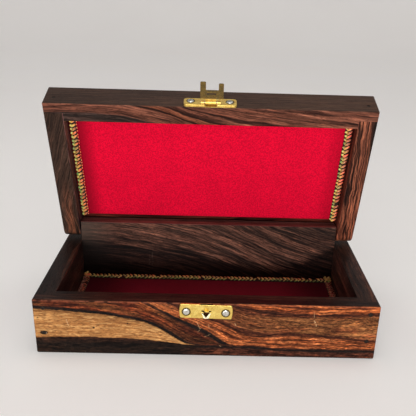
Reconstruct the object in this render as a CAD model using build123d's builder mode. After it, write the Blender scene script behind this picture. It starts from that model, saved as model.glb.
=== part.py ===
from build123d import *
import math
import os

os.makedirs("parts", exist_ok=True)

# ---------------------------------------------------------------------------
# Hardwood storage box with a brass hasp latch. The back board of the base is
# taller than the sides, and the lid turns on two pins in its ends.
# Millimetres. +Z up, front of the box towards -Y, origin in the middle of the
# underside of the base. The lid is drawn in the coordinates that it has when
# it is closed, on the LID frame, which stands open.
# ---------------------------------------------------------------------------

# box
base_w = 203.0        # outside width of the base
depth = 105.0         # outside depth of base and lid
base_h = 35.6         # height of the base's front and sides
lid_w = 204.4         # the lid stands 0.7 proud at each end
lid_h = 21.2          # height of the lid
wall = 11.7           # thickness of the boards
lap = 6.7             # what the corner rabbet leaves of the front boards
seam = 0.15           # gap between the closed rims
round_r = 0.8         # softened outer edges

# tall back board and the pins that the lid turns on
back_h = 49.6         # height of the back board
back_round = 2.0      # its rounded upper back edge
pivot_in = 5.0        # pins this far in front of the back face
pivot_up = 6.3        # pins this far above the closed rim
heel_r = 8.2          # rounded lower back corner of the lid's side boards
pivot_r = 1.1
pivot_head_r = 2.0
pivot_deep = 20.0     # length of a pin inside the back board

# panels and linings
panel_in = 6.5        # the panels' flange stops this far inside the ends
floor_flange = 5.0
floor_total = 6.4
top_flange = 6.0
top_total = 9.9
lining_t = 2.3
trim_w = 5.2
trim_t = 1.1
lid_back_in = 37.2    # the lid's lining ends here, clear of the back board

# opening of the lid in the stored pose
open_deg = 72.5

# latch
plate_w = 32.2        # hasp plate on the lid
plate_h = 8.6
plate_t = 1.5
plate_x = -0.9        # the plate was screwed on a little left of the middle
catch_h = 9.0
catch_t = 1.2
catch_x, catch_z, catch_lean = -0.65, base_h - 4.95, 1.2   # middle, and lean in degrees
hasp_out = 2.4        # hasp axis in front of the front face
hasp_up = 1.5         # hasp axis above the closed seam
hasp_x = -0.6         # middle of the knuckle
hasp_pin_r = 0.65
knuckle_r = 1.8
knuckle_half = 3.3
ear_r = 1.25
ear_in = 3.9
ear_out = 5.9
sheet_t = 1.0
hasp_half = 7.0
prong_l_w, prong_r_w = 3.4, 3.0
slot_lo, slot_hi = 5.0, 6.2
bar_hi = 7.8
prong_l_end, prong_r_end = 13.0, 12.1

# ---------------------------------------------------------------------------
# Frames
# ---------------------------------------------------------------------------

yf = -depth / 2
yb = depth / 2
lid_z = base_h + seam
lid_top = lid_z + lid_h
axis_y = yb - pivot_in
axis_z = lid_z + pivot_up

swing = math.radians(open_deg)
cos_s, sin_s = math.cos(swing), math.sin(swing)

BOX = Plane.XY
LID = Plane(
    origin=(
        0,
        axis_y - axis_y * cos_s - axis_z * sin_s,
        axis_z + axis_y * sin_s - axis_z * cos_s,
    ),
    x_dir=(1, 0, 0),
    z_dir=(0, sin_s, cos_s),
)


# the catch plate's own frame: x along it, z up it, from its middle
CATCH = Plane(
    origin=(catch_x, 0, catch_z),
    x_dir=(math.cos(math.radians(catch_lean)), 0, -math.sin(math.radians(catch_lean))),
    z_dir=(math.sin(math.radians(catch_lean)), 0, math.cos(math.radians(catch_lean))),
)


def level(frame, z):
    """A level plane of the frame: x to the right, y to the back."""
    return frame.offset(z)


def facing_front(frame, y):
    """A plane square to y that looks to the front: x to the right, z up."""
    return Plane(
        origin=frame.from_local_coords(Vector(0, y, 0)),
        x_dir=frame.x_dir,
        z_dir=frame.y_dir * -1,
    )


def facing_back(frame, y):
    """A plane square to y that looks to the back: -x to the right, z up."""
    return Plane(
        origin=frame.from_local_coords(Vector(0, y, 0)),
        x_dir=frame.x_dir * -1,
        z_dir=frame.y_dir,
    )


def facing_side(frame, x):
    """A plane square to x: y to the right, z up."""
    return Plane(
        origin=frame.from_local_coords(Vector(x, 0, 0)),
        x_dir=frame.y_dir,
        z_dir=frame.x_dir,
    )


def slab(frame, x0, x1, y0, y1, z0, z1, mode=Mode.ADD):
    with BuildSketch(level(frame, z0)) as outline:
        with Locations(((x0 + x1) / 2, (y0 + y1) / 2)):
            Rectangle(x1 - x0, y1 - y0)
    extrude(outline.sketch, amount=z1 - z0, mode=mode)


def rod_x(frame, x0, x1, y, z, r, mode=Mode.ADD):
    with BuildSketch(facing_side(frame, x0)) as ring:
        with Locations((y, z)):
            Circle(r)
    extrude(ring.sketch, amount=x1 - x0, mode=mode)


def rod_y(frame, x, z, y0, y1, r, mode=Mode.ADD):
    """Runs from y0 to the smaller y1."""
    with BuildSketch(facing_front(frame, y0)) as ring:
        with Locations((x, z)):
            Circle(r)
    extrude(ring.sketch, amount=y0 - y1, mode=mode)


def rod_z(frame, x, y, z0, z1, r, mode=Mode.ADD):
    with BuildSketch(level(frame, z0)) as ring:
        with Locations((x, y)):
            Circle(r)
    extrude(ring.sketch, amount=z1 - z0, mode=mode)


def outside(frame, xs, ys, zs):
    """Picks the edges that lie on two of the given outer planes."""

    def test(edge):
        c = frame.to_local_coords(edge @ 0.5)
        return (
            any(abs(c.X - v) < 1e-3 for v in xs)
            + any(abs(c.Y - v) < 1e-3 for v in ys)
            + any(abs(c.Z - v) < 1e-3 for v in zs)
        ) >= 2

    return test


def head(plane, u, v, r, deep, dome, slot_deg, shank_r, length):
    """A slotted wood screw: cone under the plane, dome over it, shank below."""
    with BuildSketch(plane) as rim:
        with Locations((u, v)):
            Circle(r)
    extrude(rim.sketch, amount=-deep, taper=42)
    if dome > 0:
        extrude(rim.sketch, amount=dome * 0.55, taper=30)
        with BuildSketch(plane.offset(dome * 0.55)) as crown:
            with Locations((u, v)):
                Circle(r - dome * 0.55 * math.tan(math.radians(30)))
        extrude(crown.sketch, amount=dome * 0.45, taper=66)
    with BuildSketch(plane.offset(-deep * 0.5)) as neck:
        with Locations((u, v)):
            Circle(shank_r)
    extrude(neck.sketch, amount=-(length - deep * 0.5))
    with BuildSketch(plane.offset(dome - 0.35)) as cut:
        with Locations((u, v)):
            Rectangle(2.4 * r, 0.5, rotation=slot_deg)
    extrude(cut.sketch, amount=1.0, mode=Mode.SUBTRACT)


def sink(plane, u, v, r, deep, hole_r, through):
    """The countersunk hole for such a screw."""
    with BuildSketch(plane) as rim:
        with Locations((u, v)):
            Circle(r + 0.02)
    extrude(rim.sketch, amount=-(deep + 0.02), taper=42, mode=Mode.SUBTRACT)
    with BuildSketch(plane.offset(0.01)) as hole:
        with Locations((u, v)):
            Circle(hole_r)
    extrude(hole.sketch, amount=-through, mode=Mode.SUBTRACT)


# nails: positions on the faces of the box, (x, z) in front and (y, z) at the ends
nail_r = 0.7
nail_head_r = 1.15
nail_len = 19.0
side_nail_len = 30.0
base_front_nails = [(-95.5, 30.1), (-96.1, 13.8), (95.9, 30.1), (95.6, 12.2)]
base_side_nails = [(46.4, 10.6), (46.9, 26.2)]
lid_front_nails = [(-96.3, lid_z + 7.6), (96.4, lid_z + 7.4)]
floor_pins = [
    (-92.4, -20.0), (-92.4, 22.0), (92.4, -21.0), (92.4, 20.0),
    (-44.0, -43.3), (46.0, -43.3), (-45.0, 43.3), (44.0, 43.3),
]


def nail_front(frame, x, z):
    rod_y(frame, x, z, yf + 0.75, yf + 0.15, nail_head_r)
    rod_y(frame, x, z, yf + nail_len, yf + 0.7, nail_r)


def nail_hole_front(frame, x, z):
    rod_y(frame, x, z, yf + 0.77, yf - 1.0, nail_head_r + 0.02, Mode.SUBTRACT)
    rod_y(frame, x, z, yf + nail_len + 0.1, yf - 1.0, nail_r + 0.02, Mode.SUBTRACT)


def between(s, a, b):
    """From a to b on the left (s = -1) or on the right (s = 1), in order."""
    return sorted((s * a, s * b))


def nail_side(frame, s, y, z):
    x = base_w / 2
    rod_x(frame, *between(s, x - 0.75, x - 0.15), y, z, nail_head_r)
    rod_x(frame, *between(s, x - side_nail_len, x - 0.7), y, z, nail_r)


def nail_hole_side(frame, s, y, z):
    x = base_w / 2
    rod_x(frame, *between(s, x - 0.77, x + 1.0), y, z, nail_head_r + 0.02, Mode.SUBTRACT)
    rod_x(frame, *between(s, x - side_nail_len - 0.1, x + 1.0), y, z, nail_r + 0.02, Mode.SUBTRACT)


def pin_hole(x, y):
    rod_z(BOX, x, y, -1.0, 0.62, 1.02, Mode.SUBTRACT)
    rod_z(BOX, x, y, -1.0, 14.1, 0.62, Mode.SUBTRACT)


# screws: (x, z) on the faces
catch_screws = [(-11.5, -0.45, 72), (11.5, -0.45, 118)]   # in the catch's frame
plate_screws = [(plate_x - 11.9, lid_z + 4.8, 64), (plate_x + 11.9, lid_z + 4.4, 8)]
plate_screw_r, plate_screw_deep, plate_screw_dome = 2.0, 1.1, 0.5
catch_screw_deep = 1.0


# ---------------------------------------------------------------------------
# Base woodwork
# ---------------------------------------------------------------------------

floor_x = base_w / 2 - panel_in
floor_y = depth / 2 - lap
inner_x = base_w / 2 - wall
inner_y = depth / 2 - wall

with BuildPart() as base_front_board:
    slab(BOX, -base_w / 2, base_w / 2, yf, yf + wall, 0, base_h)
    fillet(
        edges().filter_by(
            outside(BOX, (-base_w / 2, base_w / 2), (yf,), (0, base_h))
        ),
        radius=round_r,
    )
    # corner rabbets for the side boards
    for s in (-1, 1):
        xs = sorted((s * inner_x, s * (base_w / 2 + 1)))
        slab(BOX, xs[0], xs[1], yf + lap, yf + wall + 1, -1, base_h + 1, Mode.SUBTRACT)
    # rabbet for the bottom panel
    slab(BOX, -floor_x, floor_x, -floor_y, 0, -1, floor_flange, Mode.SUBTRACT)
    for x, z in base_front_nails:
        nail_hole_front(BOX, x, z)
    for x, y in floor_pins:
        if y < -40:
            pin_hole(x, y)
    for x, z, turn in catch_screws:
        rod_y(CATCH, x, z, yf + 8.2, yf - 1, 0.92, Mode.SUBTRACT)
base_front_board.part.label = "base_front_board"

# the tall back board stands between the side boards
with BuildPart() as base_back_board:
    slab(BOX, -inner_x, inner_x, yb - wall, yb, 0, back_h)
    fillet(edges().filter_by(outside(BOX, (), (yb,), (back_h,))), radius=back_round)
    fillet(edges().filter_by(outside(BOX, (), (yb - wall,), (back_h,))), radius=0.5)
    slab(BOX, -floor_x, floor_x, 0, floor_y, -1, floor_flange, Mode.SUBTRACT)
    for s in (-1, 1):
        for y, z in base_side_nails:
            nail_hole_side(BOX, s, y, z)
        rod_x(
            BOX, *between(s, inner_x - pivot_deep - 0.1, inner_x + 1),
            axis_y, axis_z, pivot_r + 0.01, Mode.SUBTRACT,
        )
    for x, y in floor_pins:
        if y > 40:
            pin_hole(x, y)
base_back_board.part.label = "base_back_board"


def base_side(s):
    slab(BOX, *between(s, inner_x, base_w / 2), yf + lap, yb, 0, base_h)
    fillet(
        edges().filter_by(outside(BOX, (s * base_w / 2,), (yb,), (0, base_h))),
        radius=round_r,
    )
    slab(BOX, *between(s, 0, floor_x), -floor_y, floor_y, -1, floor_flange, Mode.SUBTRACT)
    for x, z in base_front_nails:
        if x * s > 0:
            nail_hole_front(BOX, x, z)
    for y, z in base_side_nails:
        nail_hole_side(BOX, s, y, z)
    for x, y in floor_pins:
        if x * s > 90:
            pin_hole(x, y)


with BuildPart() as base_left_board:
    base_side(-1)
base_left_board.part.label = "base_left_board"

with BuildPart() as base_right_board:
    base_side(1)
base_right_board.part.label = "base_right_board"

with BuildPart() as base_bottom_panel:
    slab(BOX, -floor_x, floor_x, -floor_y, floor_y, 0, floor_flange)
    slab(BOX, -inner_x, inner_x, -inner_y, inner_y, floor_flange, floor_total)
    for x, y in floor_pins:
        pin_hole(x, y)
base_bottom_panel.part.label = "base_bottom_panel"

with BuildPart() as base_floor_lining:
    slab(
        BOX, -inner_x + 0.2, inner_x - 0.2, -inner_y + 0.2, inner_y - 0.2,
        floor_total, floor_total + lining_t,
    )
base_floor_lining.part.label = "base_floor_lining"

# trim braid round the floor
tz0 = floor_total + lining_t
tz1 = tz0 + trim_t
tx = inner_x - 0.3
ty = inner_y - 0.3

with BuildPart() as base_trim_back:
    slab(BOX, -tx, tx, ty - trim_w, ty, tz0, tz1)
base_trim_back.part.label = "base_trim_back"

with BuildPart() as base_trim_front:
    slab(BOX, -tx, tx, -ty, -ty + trim_w, tz0, tz1)
base_trim_front.part.label = "base_trim_front"

with BuildPart() as base_trim_left:
    slab(BOX, -tx, -tx + trim_w, -ty + trim_w + 0.1, ty - trim_w - 0.1, tz0, tz1)
base_trim_left.part.label = "base_trim_left"

with BuildPart() as base_trim_right:
    slab(BOX, tx - trim_w, tx, -ty + trim_w + 0.1, ty - trim_w - 0.1, tz0, tz1)
base_trim_right.part.label = "base_trim_right"

with BuildPart() as base_front_nails_set:
    for x, z in base_front_nails:
        nail_front(BOX, x, z)
base_front_nails_set.part.label = "base_front_nails"

with BuildPart() as base_back_nails_set:
    for s in (-1, 1):
        for y, z in base_side_nails:
            nail_side(BOX, s, y, z)
base_back_nails_set.part.label = "base_back_nails"

with BuildPart() as base_bottom_pins:
    for x, y in floor_pins:
        rod_z(BOX, x, y, 0.1, 0.6, 1.0)
        rod_z(BOX, x, y, 0.55, 14.0, 0.6)
base_bottom_pins.part.label = "base_bottom_pins"

# ---------------------------------------------------------------------------
# Lid woodwork: a front board, two side boards and the top; no back board
# ---------------------------------------------------------------------------

top_x = lid_w / 2 - panel_in
top_y = depth / 2 - lap
lid_inner_x = lid_w / 2 - wall

with BuildPart() as lid_front_board:
    slab(LID, -lid_w / 2, lid_w / 2, yf, yf + wall, lid_z, lid_top)
    fillet(
        edges().filter_by(
            outside(LID, (-lid_w / 2, lid_w / 2), (yf,), (lid_z, lid_top))
        ),
        radius=round_r,
    )
    for s in (-1, 1):
        xs = sorted((s * lid_inner_x, s * (lid_w / 2 + 1)))
        slab(LID, xs[0], xs[1], yf + lap, yf + wall + 1, lid_z - 1, lid_top + 1, Mode.SUBTRACT)
    slab(LID, -top_x, top_x, -top_y, 0, lid_top - top_flange, lid_top + 1, Mode.SUBTRACT)
    for x, z in lid_front_nails:
        nail_hole_front(LID, x, z)
    for x, z, turn in plate_screws:
        rod_y(LID, x, z, yf + 8.2, yf - 1, 0.92, Mode.SUBTRACT)
lid_front_board.part.label = "lid_front_board"


def lid_side(s):
    slab(LID, *between(s, lid_inner_x, lid_w / 2), yf + lap, yb, lid_z, lid_top)
    fillet(edges().filter_by(outside(LID, (), (yb,), (lid_z,))), radius=heel_r)
    fillet(
        edges().filter_by(outside(LID, (s * lid_w / 2,), (yb,), (lid_z, lid_top))),
        radius=round_r,
    )
    slab(
        LID, *between(s, 0, top_x), -top_y, yb + 1,
        lid_top - top_flange, lid_top + 1, Mode.SUBTRACT,
    )
    for x, z in lid_front_nails:
        if x * s > 0:
            nail_hole_front(LID, x, z)
    # bore for the pin, and the recess for its head
    rod_x(
        LID, *between(s, lid_inner_x - 1, lid_w / 2 + 1),
        axis_y, axis_z, pivot_r + 0.05, Mode.SUBTRACT,
    )
    rod_x(
        LID, *between(s, lid_w / 2 - 0.9, lid_w / 2 + 1),
        axis_y, axis_z, pivot_head_r + 0.3, Mode.SUBTRACT,
    )


with BuildPart() as lid_left_board:
    lid_side(-1)
lid_left_board.part.label = "lid_left_board"

with BuildPart() as lid_right_board:
    lid_side(1)
lid_right_board.part.label = "lid_right_board"

with BuildPart() as lid_top_panel:
    slab(LID, -top_x, top_x, -top_y, yb, lid_top - top_flange, lid_top)
    fillet(
        edges().filter_by(outside(LID, (), (yb,), (lid_top,))),
        radius=round_r,
    )
    slab(
        LID, -lid_inner_x, lid_inner_x, -inner_y, lid_back_in,
        lid_top - top_total, lid_top - top_flange,
    )
lid_top_panel.part.label = "lid_top_panel"

lz1 = lid_top - top_total
lz0 = lz1 - lining_t

with BuildPart() as lid_lining:
    slab(
        LID, -lid_inner_x + 0.2, lid_inner_x - 0.2, -inner_y + 0.2, lid_back_in,
        lz0, lz1,
    )
lid_lining.part.label = "lid_lining"

lx = lid_inner_x - 0.3

with BuildPart() as lid_trim_left:
    slab(LID, -lx, -lx + trim_w, -ty, lid_back_in - 0.3, lz0 - trim_t, lz0)
lid_trim_left.part.label = "lid_trim_left"

with BuildPart() as lid_trim_right:
    slab(LID, lx - trim_w, lx, -ty, lid_back_in - 0.3, lz0 - trim_t, lz0)
lid_trim_right.part.label = "lid_trim_right"

with BuildPart() as lid_front_nails_set:
    for x, z in lid_front_nails:
        nail_front(LID, x, z)
lid_front_nails_set.part.label = "lid_front_nails"

# ---------------------------------------------------------------------------
# Pins that the lid turns on: fast in the back board, free in the lid's sides
# ---------------------------------------------------------------------------


def pivot(s):
    rod_x(BOX, *between(s, inner_x - pivot_deep, lid_w / 2 - 0.6), axis_y, axis_z, pivot_r)
    rod_x(BOX, *between(s, lid_w / 2 - 0.8, lid_w / 2 - 0.2), axis_y, axis_z, pivot_head_r)
    fillet(
        edges().filter_by(GeomType.CIRCLE).sort_by(lambda e: -s * (e @ 0.5).X)[0:1],
        radius=0.25,
    )


with BuildPart() as pivot_pin_left:
    pivot(-1)
pivot_pin_left.part.label = "pivot_pin_left"

with BuildPart() as pivot_pin_right:
    pivot(1)
pivot_pin_right.part.label = "pivot_pin_right"

# ---------------------------------------------------------------------------
# Latch
# ---------------------------------------------------------------------------

with BuildPart() as catch_plate:
    with BuildSketch(facing_front(CATCH, yf)):
        with BuildLine():
            zh = catch_h / 2
            Line((-14.9, zh), (14.9, zh))
            ThreePointArc((14.9, zh), (15.55, 0), (14.9, -zh))
            Line((14.9, -zh), (-14.9, -zh))
            ThreePointArc((-14.9, -zh), (-15.55, 0), (-14.9, zh))
        make_face()
        fillet(vertices(), radius=0.9)
    extrude(amount=catch_t)
    fillet(
        faces().sort_by(Axis.Y)[0].edges(),
        radius=0.3,
    )
    # V-shaped opening
    with BuildSketch(facing_front(CATCH, yf)):
        with BuildLine():
            Polyline(
                (-2.75, 0.85), (-1.5, 0.75), (0.3, -0.2), (2.0, 0.75), (3.2, 0.45),
                (3.0, -0.35), (2.2, -0.35), (0.3, -2.4), (-1.75, -0.35), (-2.5, -0.35), close=True,
            )
        make_face()
    extrude(amount=catch_t + 1, mode=Mode.SUBTRACT)
    # beak pressed out below it: two legs that meet at the bottom
    with BuildSketch(facing_front(CATCH, yf)):
        with BuildLine():
            Polyline(
                (-2.95, -0.1), (-1.75, -0.1), (0.3, -2.4), (2.2, -0.1), (3.35, -0.1),
                (1.4, -3.75), (-0.95, -3.75), close=True,
            )
        make_face()
    extrude(amount=catch_t + 1.7)
    with BuildSketch(facing_side(CATCH, -4)):
        with BuildLine():
            Polyline(
                (yf - catch_t - 0.25, 0.2), (yf - catch_t - 0.5, -1.35),
                (yf - catch_t - 1.6, -3.55), (yf - catch_t - 1.3, -3.9),
                (yf - catch_t - 4, -3.9), (yf - catch_t - 4, 0.2), close=True,
            )
        make_face()
    extrude(amount=9, mode=Mode.SUBTRACT)
    # tongue that stands through the hasp's slot, over its crossbar
    slab(CATCH, -0.85, 1.55, yf - catch_t - 2.0, yf - catch_t + 0.2, 0.72, 1.32)
    for x, z, turn in catch_screws:
        sink(facing_front(CATCH, yf - catch_t), x, z, plate_screw_r, catch_screw_deep, 1.0, 3.0)
catch_plate.part.label = "catch_plate"

with BuildPart() as catch_plate_screws:
    for x, z, turn in catch_screws:
        head(
            facing_front(CATCH, yf - catch_t), x, z, plate_screw_r,
            catch_screw_deep, plate_screw_dome, turn, 0.9, 9.0,
        )
catch_plate_screws.part.label = "catch_plate_screws"

hasp_y = yf - hasp_out
hasp_z = lid_z + hasp_up

with BuildPart() as hasp_plate:
    with BuildSketch(facing_front(LID, yf)):
        with Locations((plate_x, lid_z + plate_h / 2)):
            Rectangle(plate_w, plate_h)
        fillet(vertices(), radius=2.0)
    extrude(amount=plate_t)
    fillet(
        faces().sort_by(Axis(LID.origin, LID.y_dir))[0].edges(),
        radius=0.45,
    )
    # recess for the knuckle: a thin web of the plate stays behind it
    slab(
        LID, hasp_x - ear_in, hasp_x + ear_in, yf - plate_t - 1, yf - 0.45,
        lid_z - 1, hasp_z + knuckle_r + 0.35, Mode.SUBTRACT,
    )
    # ears
    for x0 in (hasp_x - ear_out, hasp_x + ear_in):
        slab(
            LID, x0, x0 + ear_out - ear_in, hasp_y, yf - 0.2,
            hasp_z - ear_r, hasp_z + ear_r,
        )
        rod_x(LID, x0, x0 + ear_out - ear_in, hasp_y, hasp_z, ear_r)
    rod_x(
        LID, hasp_x - ear_out - 1, hasp_x + ear_out + 1, hasp_y, hasp_z,
        hasp_pin_r + 0.01, Mode.SUBTRACT,
    )
    for x, z, turn in plate_screws:
        sink(facing_front(LID, yf - plate_t), x, z, plate_screw_r, plate_screw_deep, 1.0, 3.0)
hasp_plate.part.label = "hasp_plate"

with BuildPart() as hasp_plate_screws:
    for x, z, turn in plate_screws:
        head(
            facing_front(LID, yf - plate_t), x, z, plate_screw_r,
            plate_screw_deep, plate_screw_dome, turn, 0.9, 9.2,
        )
hasp_plate_screws.part.label = "hasp_plate_screws"

with BuildPart() as hasp_pin:
    rod_x(
        LID, hasp_x - ear_out - 0.15, hasp_x + ear_out + 0.15, hasp_y, hasp_z, hasp_pin_r,
    )
hasp_pin.part.label = "hasp_pin"

# the hasp stands out square to the front of the lid
with BuildPart() as hasp:
    with BuildSketch(level(LID, hasp_z - sheet_t / 2)):
        # neck and web
        with Locations((hasp_x, hasp_y - slot_hi / 2)):
            Rectangle(2 * knuckle_half - 0.2, slot_hi)
        with Locations((0, hasp_y - (3.2 + bar_hi) / 2)):
            Rectangle(2 * hasp_half, bar_hi - 3.2)
        # prongs
        for s, wide, end in ((-1, prong_l_w, prong_l_end), (1, prong_r_w, prong_r_end)):
            with Locations((s * (hasp_half - wide / 2), hasp_y - (2.2 + end) / 2)):
                Rectangle(wide, end - 2.2)
        with Locations((-0.35, hasp_y - (slot_lo + slot_hi) / 2)):
            Rectangle(5.6, slot_hi - slot_lo, mode=Mode.SUBTRACT)
    extrude(amount=sheet_t)
    tips = edges().filter_by(
        lambda e: LID.to_local_coords(e @ 0.5).Y < hasp_y - prong_r_end + 0.01
        and e.length < 1.2
    )
    fillet(tips, radius=0.6)
    rod_x(LID, hasp_x - knuckle_half, hasp_x + knuckle_half, hasp_y, hasp_z, knuckle_r)
    rod_x(LID, -10, 10, hasp_y, hasp_z, hasp_pin_r + 0.05, Mode.SUBTRACT)
hasp.part.label = "hasp"

# ---------------------------------------------------------------------------
# One file for each piece
# ---------------------------------------------------------------------------

export_step(base_front_board.part, "parts/base_front_board.step")
export_step(base_back_board.part, "parts/base_back_board.step")
export_step(base_left_board.part, "parts/base_left_board.step")
export_step(base_right_board.part, "parts/base_right_board.step")
export_step(base_bottom_panel.part, "parts/base_bottom_panel.step")
export_step(base_floor_lining.part, "parts/base_floor_lining.step")
export_step(base_trim_back.part, "parts/base_trim_back.step")
export_step(base_trim_front.part, "parts/base_trim_front.step")
export_step(base_trim_left.part, "parts/base_trim_left.step")
export_step(base_trim_right.part, "parts/base_trim_right.step")
export_step(base_front_nails_set.part, "parts/base_front_nails.step")
export_step(base_back_nails_set.part, "parts/base_back_nails.step")
export_step(base_bottom_pins.part, "parts/base_bottom_pins.step")
export_step(catch_plate.part, "parts/catch_plate.step")
export_step(catch_plate_screws.part, "parts/catch_plate_screws.step")
export_step(lid_front_board.part, "parts/lid_front_board.step")
export_step(lid_left_board.part, "parts/lid_left_board.step")
export_step(lid_right_board.part, "parts/lid_right_board.step")
export_step(lid_top_panel.part, "parts/lid_top_panel.step")
export_step(lid_lining.part, "parts/lid_lining.step")
export_step(lid_trim_left.part, "parts/lid_trim_left.step")
export_step(lid_trim_right.part, "parts/lid_trim_right.step")
export_step(lid_front_nails_set.part, "parts/lid_front_nails.step")
export_step(pivot_pin_left.part, "parts/pivot_pin_left.step")
export_step(pivot_pin_right.part, "parts/pivot_pin_right.step")
export_step(hasp_plate.part, "parts/hasp_plate.step")
export_step(hasp_plate_screws.part, "parts/hasp_plate_screws.step")
export_step(hasp_pin.part, "parts/hasp_pin.step")
export_step(hasp.part, "parts/hasp.step")

print("lid axis y, z (m):", round(axis_y / 1000, 6), round(axis_z / 1000, 6))
h = LID.from_local_coords(Vector(hasp_x, hasp_y, hasp_z))
print("hasp axis y, z (m):", round(h.Y / 1000, 6), round(h.Z / 1000, 6))
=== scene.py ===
import math
import random

import bpy
from mathutils import Matrix, Vector


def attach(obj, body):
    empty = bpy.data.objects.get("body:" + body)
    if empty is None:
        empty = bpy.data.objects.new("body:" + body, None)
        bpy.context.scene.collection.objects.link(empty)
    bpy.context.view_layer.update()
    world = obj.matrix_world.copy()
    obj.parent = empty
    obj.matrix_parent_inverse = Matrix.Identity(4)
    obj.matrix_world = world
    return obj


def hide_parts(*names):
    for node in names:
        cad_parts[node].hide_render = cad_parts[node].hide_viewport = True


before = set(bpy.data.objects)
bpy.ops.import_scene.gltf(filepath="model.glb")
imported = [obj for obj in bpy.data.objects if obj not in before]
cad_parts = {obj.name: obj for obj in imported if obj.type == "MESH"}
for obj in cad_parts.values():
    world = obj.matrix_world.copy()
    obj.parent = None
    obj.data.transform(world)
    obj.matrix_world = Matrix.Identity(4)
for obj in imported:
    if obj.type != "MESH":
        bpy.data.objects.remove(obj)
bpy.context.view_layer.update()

MM = 0.001
OPEN = math.radians(72.5)
CO, SO = math.cos(OPEN), math.sin(OPEN)
AY, AZ = 47.5, 42.05           # axis of the lid, mm
RNG = random.Random(7)

scene = bpy.context.scene
scene.view_settings.view_transform = "Standard"
scene.view_settings.look = "None"

# ---------------------------------------------------------------------------
# Camera: fitted to the corners of the box in the photograph
# ---------------------------------------------------------------------------


def make_camera():
    f_px, u0, v0, size = 634.57, 220.192, 281.035, 416.0
    pitch, yaw, roll = (math.radians(a) for a in (-25.359, 1.226, 1.803))
    fwd = Vector((math.sin(yaw) * math.cos(pitch), math.cos(yaw) * math.cos(pitch), math.sin(pitch)))
    r0 = Vector((math.cos(yaw), -math.sin(yaw), 0.0))
    u_ = r0.cross(fwd)
    right = r0 * math.cos(roll) + u_ * math.sin(roll)
    up = u_ * math.cos(roll) - r0 * math.sin(roll)
    cam = bpy.data.cameras.new("camera")
    cam.sensor_width = 36.0
    cam.lens = f_px / size * 36.0
    cam.shift_x = -(u0 - size / 2) / size
    cam.shift_y = (v0 - size / 2) / size
    cam.clip_start, cam.clip_end = 0.01, 20.0
    ob = bpy.data.objects.new("camera", cam)
    scene.collection.objects.link(ob)
    m = Matrix((right, up, -fwd)).transposed().to_4x4()
    m.translation = Vector((0.076, -379.24, 205.0)) * MM
    ob.matrix_world = m
    scene.camera = ob


make_camera()

# ---------------------------------------------------------------------------
# Light, floor
# ---------------------------------------------------------------------------


def area(name, loc, target, size, size_y, power, color=(1, 1, 1), spread=math.pi):
    light = bpy.data.lights.new(name, "AREA")
    light.shape = "RECTANGLE"
    light.size, light.size_y = size, size_y
    light.energy = power
    light.color = color
    light.spread = spread
    ob = bpy.data.objects.new(name, light)
    scene.collection.objects.link(ob)
    ob.location = loc
    ob.rotation_mode = "QUATERNION"
    ob.rotation_quaternion = (Vector(target) - Vector(loc)).to_track_quat("-Z", "Y")
    return ob


area("key_light", (-0.12, -1.30, 0.27), (0, 0, 0.06), 1.2, 0.22, 4.0, (1.0, 0.985, 0.965), math.radians(90))
area("top_light", (0.05, 0.10, 1.30), (0, 0, 0.0), 1.1, 0.9, 4.0, (1.0, 0.99, 0.98))

world = bpy.data.worlds.new("studio")
scene.world = world
world.use_nodes = True
world.node_tree.nodes["Background"].inputs["Color"].default_value = (0.93, 0.95, 1.0, 1)
world.node_tree.nodes["Background"].inputs["Strength"].default_value = 0.16

# ---------------------------------------------------------------------------
# Node helper
# ---------------------------------------------------------------------------


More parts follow.
